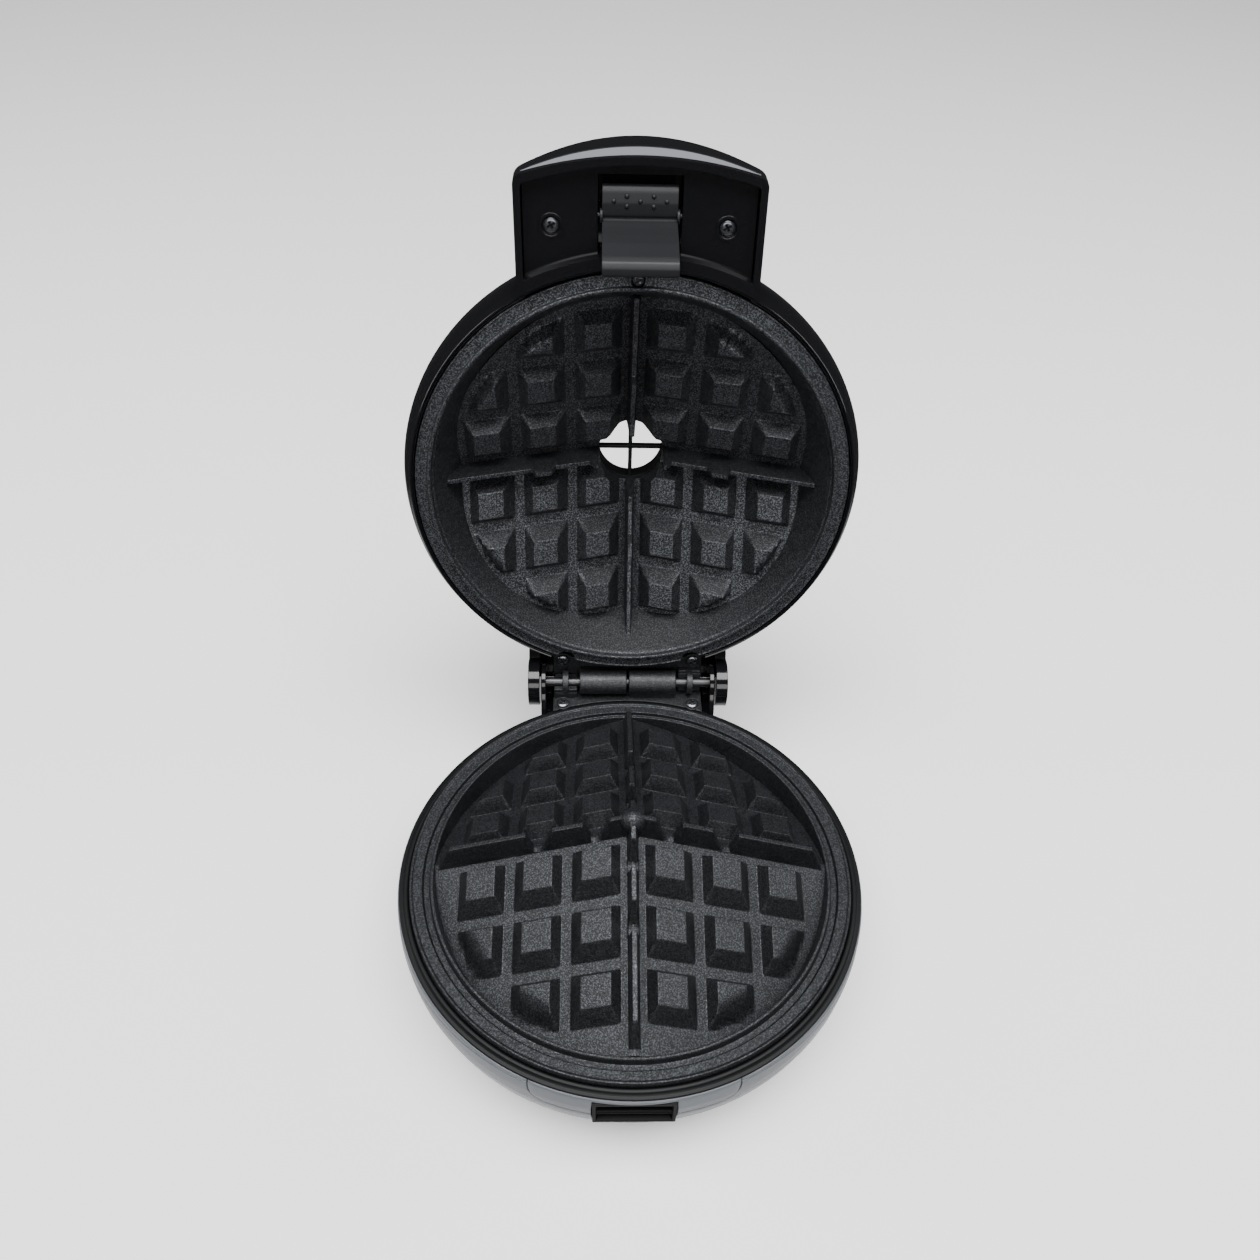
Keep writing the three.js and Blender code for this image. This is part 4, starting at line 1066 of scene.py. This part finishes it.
def lid_moulding():
    ceiling = HANDLE_CROWN - HANDLE_SKIN
    rear_gaps = block(-46.6, 46.6, 96.5, 140, -10, 17.1), block(-40.6, 40.6, 84, 140, -10, 17.1)
    dome = carved(lathe(smooth_curve(LID_OUTER) + smooth_curve(LID_INNER)),
                  under_arch(handle_outline(HANDLE_WALL, 80.0), -5.0, ceiling, ceiling), *rear_gaps)
    outer = under_arch(handle_outline(0.0, 102.9), HANDLE_FOOT, HANDLE_CROWN + 1, HANDLE_CROWN)
    hollow = under_arch(handle_outline(HANDLE_WALL, 109.5), -1.0, ceiling, ceiling)
    inside_dome = lathe([(0, -5), (104.8, -5), (104.8, 2.6), (103.2, 3.4), (103.2, 7), (105.6, 12),
                         (105.6, 20), (103, 28), (0, 28)], 160)
    handle = softened(carved(outer, hollow, inside_dome, strip_shape(0.0)), 0.45, 3, 40)
    hood = softened(block(-48, 48, 97, 120.5, 17.6, 31), 1.2, 4)
    return joined(dome, handle, hood, lid_cheek(-1), lid_cheek(1))


def strip_shape(shrink):
    """The crescent let into the handle's end face, less a little all round."""
    outer = leaning(prism(handle_outline(-0.6 if shrink == 0 else 0.2, 130), 3.2 + shrink, 15))
    inner = leaning(prism(handle_outline(1.3 - shrink, 112), 0.0, 18.0))
    ends = [block(*sorted((side * (47.8 - shrink), side * 80)), -170, -90, 0, 20) for side in (-1, 1)]
    return carved(outer, inner, above_arch(13.8 - shrink, 10.2), block(-60, 60, -134, -80, 0, 20), *ends)


finished("lid_moulding", lid_moulding(), "lid", "black_gloss", BLACK_GLOSS, ["lid_shell"], smooth_angle=40)


finished("handle_bright_strip", softened(strip_shape(0.2), 0.15, 2, 40), "lid", "silver_trim", SILVER_FOIL,
         ["handle_trim"])


def handle_inner_cover():
    """The cover inside the handle's rim, with the latch's pocket and a step that follows the lid's rim."""
    sheet = prism(handle_outline(3.4, 109.6), 5.4, 7.4)
    pocket = block(-17.0, 17.2, -139.2, -100, 0, 20)
    wells = [at(lathe([(0, 0), (3.9, 0), (3.9, 12), (0, 12)], 40), x=side * HANDLE_SCREW_X, y=HANDLE_SCREW_Y)
             for side in (-1, 1)]
    floor = softened(carved(sheet, pocket, *wells), 0.3, 2, 40)
    box_walls = carved(block(-18.6, 18.6, -140.2, -109.5, 5.8, 18.8),
                       block(-17.0, 17.2, -139.2, -100, 0, 17.6))
    step = softened(carved(prism(handle_outline(3.4, 103.9), 6.6, 7.6), pocket), 0.25, 2, 40)
    lip = carved(lathe(rounded([(103.6, 4.2), (104.6, 4.2), (104.8, 7.4), (103.6, 7.4)], 0.3)),
                 block(-200, 200, -90, 200, 0, 20), pocket,
                 *[block(*sorted((side * 47.4, side * 200)), -200, 0, 0, 20) for side in (-1, 1)])
    rings = [at(lathe(rounded([(3.9, 5.0), (5.0, 5.0), (5.0, 6.4), (3.9, 8.4), (3.5, 8.4)], 0.2), 40),
                x=side * HANDLE_SCREW_X, y=HANDLE_SCREW_Y) for side in (-1, 1)]
    return joined(floor, softened(box_walls, 0.3, 2), step, lip, *rings)


finished("handle_inner_cover", handle_inner_cover(), "lid", "black_gloss", BLACK_GLOSS,
         ["handle_underside_cover"])


def filler_cross():
    ring = lathe(rounded([(HOLE_RADIUS + 0.02, 56.2), (TUBE_RADIUS, 56.2), (TUBE_RADIUS, 65.2),
                          (HOLE_RADIUS + 0.02, 65.2)], 0.4), 96)
    reach = HOLE_RADIUS + 0.8
    bar = softened(block(-reach, reach, -1.0, 1.0, 56.4, 59.6), 0.5, 3)
    return at(joined(ring, bar, moved(bar, Matrix.Rotation(math.pi / 2, 4, "Z"))), y=CAVITY_Y)


finished("filler_tube_and_cross", filler_cross(), "lid", "black_satin", COLLAR_BLACK, ["filler_tube"])
LAMPS = {"power_lamp_lens": (-12, RED_LENS, "red_lens"), "ready_lamp_lens": (12, GREEN_LENS, "green_lens")}
for lamp, (lamp_x, lens, lens_slot) in LAMPS.items():
    dome = lathe(rounded([(0, 61), (2.6, 61), (2.6, 63.6), (1.6, 64.5), (0, 64.7)], 0.5), 32)
    finished(lamp + "_dome", at(dome, x=lamp_x, y=-66), "lid", lens_slot, lens, [lamp])


# ---------- the latch ----------
def latch_profile():
    pad = [(-134.8, 8.4), (-135.6, 6.6), (-135.2, 4.6), (-133.2, 3.4), (-129, 2.9), (-125.2, 3.2),
           (-123.7, 3.4)]
    shank = [(-123.5, 4.6), (-122.4, 3.4), (-120.9, -1.0), (-119.4, -6), (-117.7, -11), (-115.9, -15.4),
             (-114.7, -18.4), (-113.3, -20.9), (-111.2, -22), (-108.2, -21.8), (-107.5, -20.8),
             (-107.8, -18.6), (-110.6, -18.2), (-112.3, -16.2), (-113.8, -12), (-115.6, -6.5),
             (-117.2, -1), (-118.6, 4)]
    hub = [(-119.7, 8), (-121.0, 11.4), (-123.6, 12), (-125.6, 10.4), (-126.6, 7.4), (-128.4, 6.3),
           (-132.6, 6.8)]
    return pad + shank + hub


LATCH_HALF = 15.3
latch_body = softened(along_x(rounded(latch_profile(), 0.6, 2), -LATCH_HALF, LATCH_HALF), 0.45, 3, 50)
ear = lathe(rounded([(0, 0), (2.9, 0), (2.9, 1.3), (0, 1.3)], 0.4), 32, "X")
ears = [at(ear, x=x, y=LATCH_PIN_Y - 0.8, z=LATCH_PIN_Z - 4.2) for x in (-LATCH_HALF - 0.9, LATCH_HALF - 0.4)]
finished("latch_lever_moulding", joined(latch_body, *ears), "latch", "black_satin", BLACK_SATIN,
         ["latch_lever"])
DOTS = [(-10.6, -129.7), (-5.4, -131.6), (-5.4, -127.8), (0.0, -129.7), (5.4, -131.6), (5.4, -127.8),
        (10.6, -129.7)]
dot = lathe([(0, -0.6)] + [(1.0 * math.cos(a), 0.75 * math.sin(a)) for a in np.linspace(-0.4, 1.5, 7)]
            + [(0, 0.75)], 14)
finished("latch_grip_dots", repeated(dot, [((x, y, 3.15), (0, 0, -1)) for x, y in DOTS], BLACK_SATIN),
         "latch", "black_satin", BLACK_SATIN)
finished("latch_pin_rod", pin(1.2, 18.4, 0.2, 24, LATCH_PIN_Y, LATCH_PIN_Z), "lid", "steel_pin", STEEL_PAINTED_DARK,
         ["latch_pin"])


# ---------- screws ----------
def cross_head_screw(radius):
    """A pan-head screw with a cross recess, its head at z = 0 and its shank below."""
    profile = [(0, 0), (radius * 0.62, -0.05), (radius * 0.93, -0.55), (radius, -1.5),
               (radius * 0.98, -1.9), (radius * 0.45, -2.1), (radius * 0.45, -8), (0, -8)]
    head = lathe(rounded(profile, 0.25, 2), 36)
    arm = radius * 0.56
    tools = []
    for turn in (0.5, 0.5 + math.pi / 2):
        wedge = along_x([(-0.62, 0.5), (0.62, 0.5), (0.25, -1.3), (-0.25, -1.3)], -arm, arm)
        tools.append(moved(wedge, Matrix.Rotation(turn, 4, "Z")))
    return carved(head, *tools)


HEAD_RISE = 1.5
SCREW_SETS = [
    ("lower_hinge_screws", "base", 3.4, (SCREW_X, SCREW_Y, BRACKET_FACE + HEAD_RISE), 1,
     ["lower_hinge_screw_left", "lower_hinge_screw_right"]),
    ("upper_hinge_screws", "lid", 3.4, (SCREW_X, SCREW_Y, 2 * HINGE_Z - BRACKET_FACE - HEAD_RISE), -1,
     ["upper_hinge_screw_left", "upper_hinge_screw_right"]),
    ("handle_screws", "lid", 3.3, (HANDLE_SCREW_X, HANDLE_SCREW_Y, 5.6), -1,
     ["handle_screw_left", "handle_screw_right"]),
    ("plate_screw", "lid", 2.7, (0, PLATE_SCREW_Y, 3.2), -1, ["upper_plate_screw"])]
for name, body, radius, (x, y, z), up, stands_for in SCREW_SETS:
    places = [((side * x, y, z), (0, 0, up)) for side in (-1, 1)[:len(stands_for)]]
    finished(name, repeated(cross_head_screw(radius), places, DARK_SCREW), body, "dark_screw", DARK_SCREW,
             stands_for)

# ---------- CAD nodes that stay as they are ----------
KEPT = {"lower_heating_element": OXIDISED, "upper_heating_element": OXIDISED, "lower_reflector": BRIGHT_SHEET,
        "upper_reflector": BRIGHT_SHEET, "thermostat": CERAMIC, "terminal_block": CERAMIC,
        "thermal_fuse": STEEL_PAINTED_DARK}
for name, finish in KEPT.items():
    NODES[name].data.materials.clear()
    NODES[name].data.materials.append(finish)


# ---------- floor, light and camera ----------
def stage_floor():
    floor_material = bpy.data.materials.new("pale_floor")
    floor_material.use_nodes = True
    shader = floor_material.node_tree.nodes["Principled BSDF"]
    shader.inputs["Base Color"].default_value = (0.93, 0.93, 0.93, 1)
    shader.inputs["Roughness"].default_value = 0.9
    shader.inputs["Specular IOR Level"].default_value = 0.1
    shader.inputs["Emission Color"].default_value = (1, 1, 1, 1)
    shader.inputs["Emission Strength"].default_value = 0.3
    size = 6.0
    corners = [(-size, -size, 0), (size, -size, 0), (size, size, 0), (-size, size, 0)]
    floor = loose_object("pale_floor", (corners, [[0, 1, 2, 3]]))
    floor.data.materials.append(floor_material)
    floor.visible_glossy = False


def soft_light(name, place, target, size, power):
    lamp = bpy.data.lights.new(name, "AREA")
    lamp.shape, lamp.size, lamp.size_y = "RECTANGLE", size[0], size[1]
    lamp.energy = power
    obj = in_scene(name, lamp)
    obj.location = place
    obj.rotation_euler = (Vector(target) - Vector(place)).to_track_quat("-Z", "Y").to_euler()


def studio():
    stage_floor()
    soft_light("overhead_softbox", (0.0, -0.25, 1.7), (0, 0.02, 0.1), (1.9, 1.0), 62)
    soft_light("front_softbox", (0.0, -2.0, 1.15), (0, 0, 0.15), (2.0, 0.9), 24)
    soft_light("left_strip", (-1.5, 0.2, 0.7), (0, 0, 0.15), (0.3, 1.2), 8)
    soft_light("right_strip", (1.5, 0.2, 0.7), (0, 0, 0.15), (0.3, 1.2), 8)
    world = bpy.data.worlds.new("studio_air")
    world.use_nodes = True
    tree = world.node_tree
    split = tree.nodes.new("ShaderNodeSeparateXYZ")
    tree.links.new(tree.nodes.new("ShaderNodeTexCoord").outputs["Generated"], split.inputs[0])
    glow = spread(tree, split.outputs["Z"], -0.85, -0.55, 0.9, 0.05)
    seen = tree.nodes.new("ShaderNodeLightPath").outputs["Is Camera Ray"]
    glow = math_node(tree, "MAXIMUM", glow, math_node(tree, "MULTIPLY", seen, 0.8))
    background = tree.nodes["Background"]
    background.inputs["Color"].default_value = (1, 1, 1, 1)
    tree.links.new(glow, background.inputs["Strength"])
    bpy.context.scene.world = world


def camera():
    """The viewer's place in the plates' frame, in millimetres, and its turn, in degrees."""
    spot = Vector((-16.40, -280.06, 442.20))
    yaw, pitch, roll = (math.radians(a) for a in (2.611, 48.498, 2.209))
    forward = Vector((math.sin(yaw) * math.cos(pitch), math.cos(yaw) * math.cos(pitch), -math.sin(pitch)))
    right = Vector((math.cos(yaw), -math.sin(yaw), 0))
    up = right.cross(forward)
    turned_right = right * math.cos(roll) + up * math.sin(roll)
    turned_up = -right * math.sin(roll) + up * math.cos(roll)
    lens = bpy.data.cameras.new("viewer")
    lens.sensor_width, lens.lens, lens.shift_y = 36.0, 31.096, 0.0519
    lens.clip_start, lens.clip_end = 0.02, 30
    obj = in_scene("viewer", lens)
    axes = Matrix((turned_right, turned_up, -forward)).transposed().to_4x4()
    obj.matrix_world = Matrix.Translation(TO_BASE @ spot) @ axes
    bpy.context.scene.camera = obj


studio()
camera()
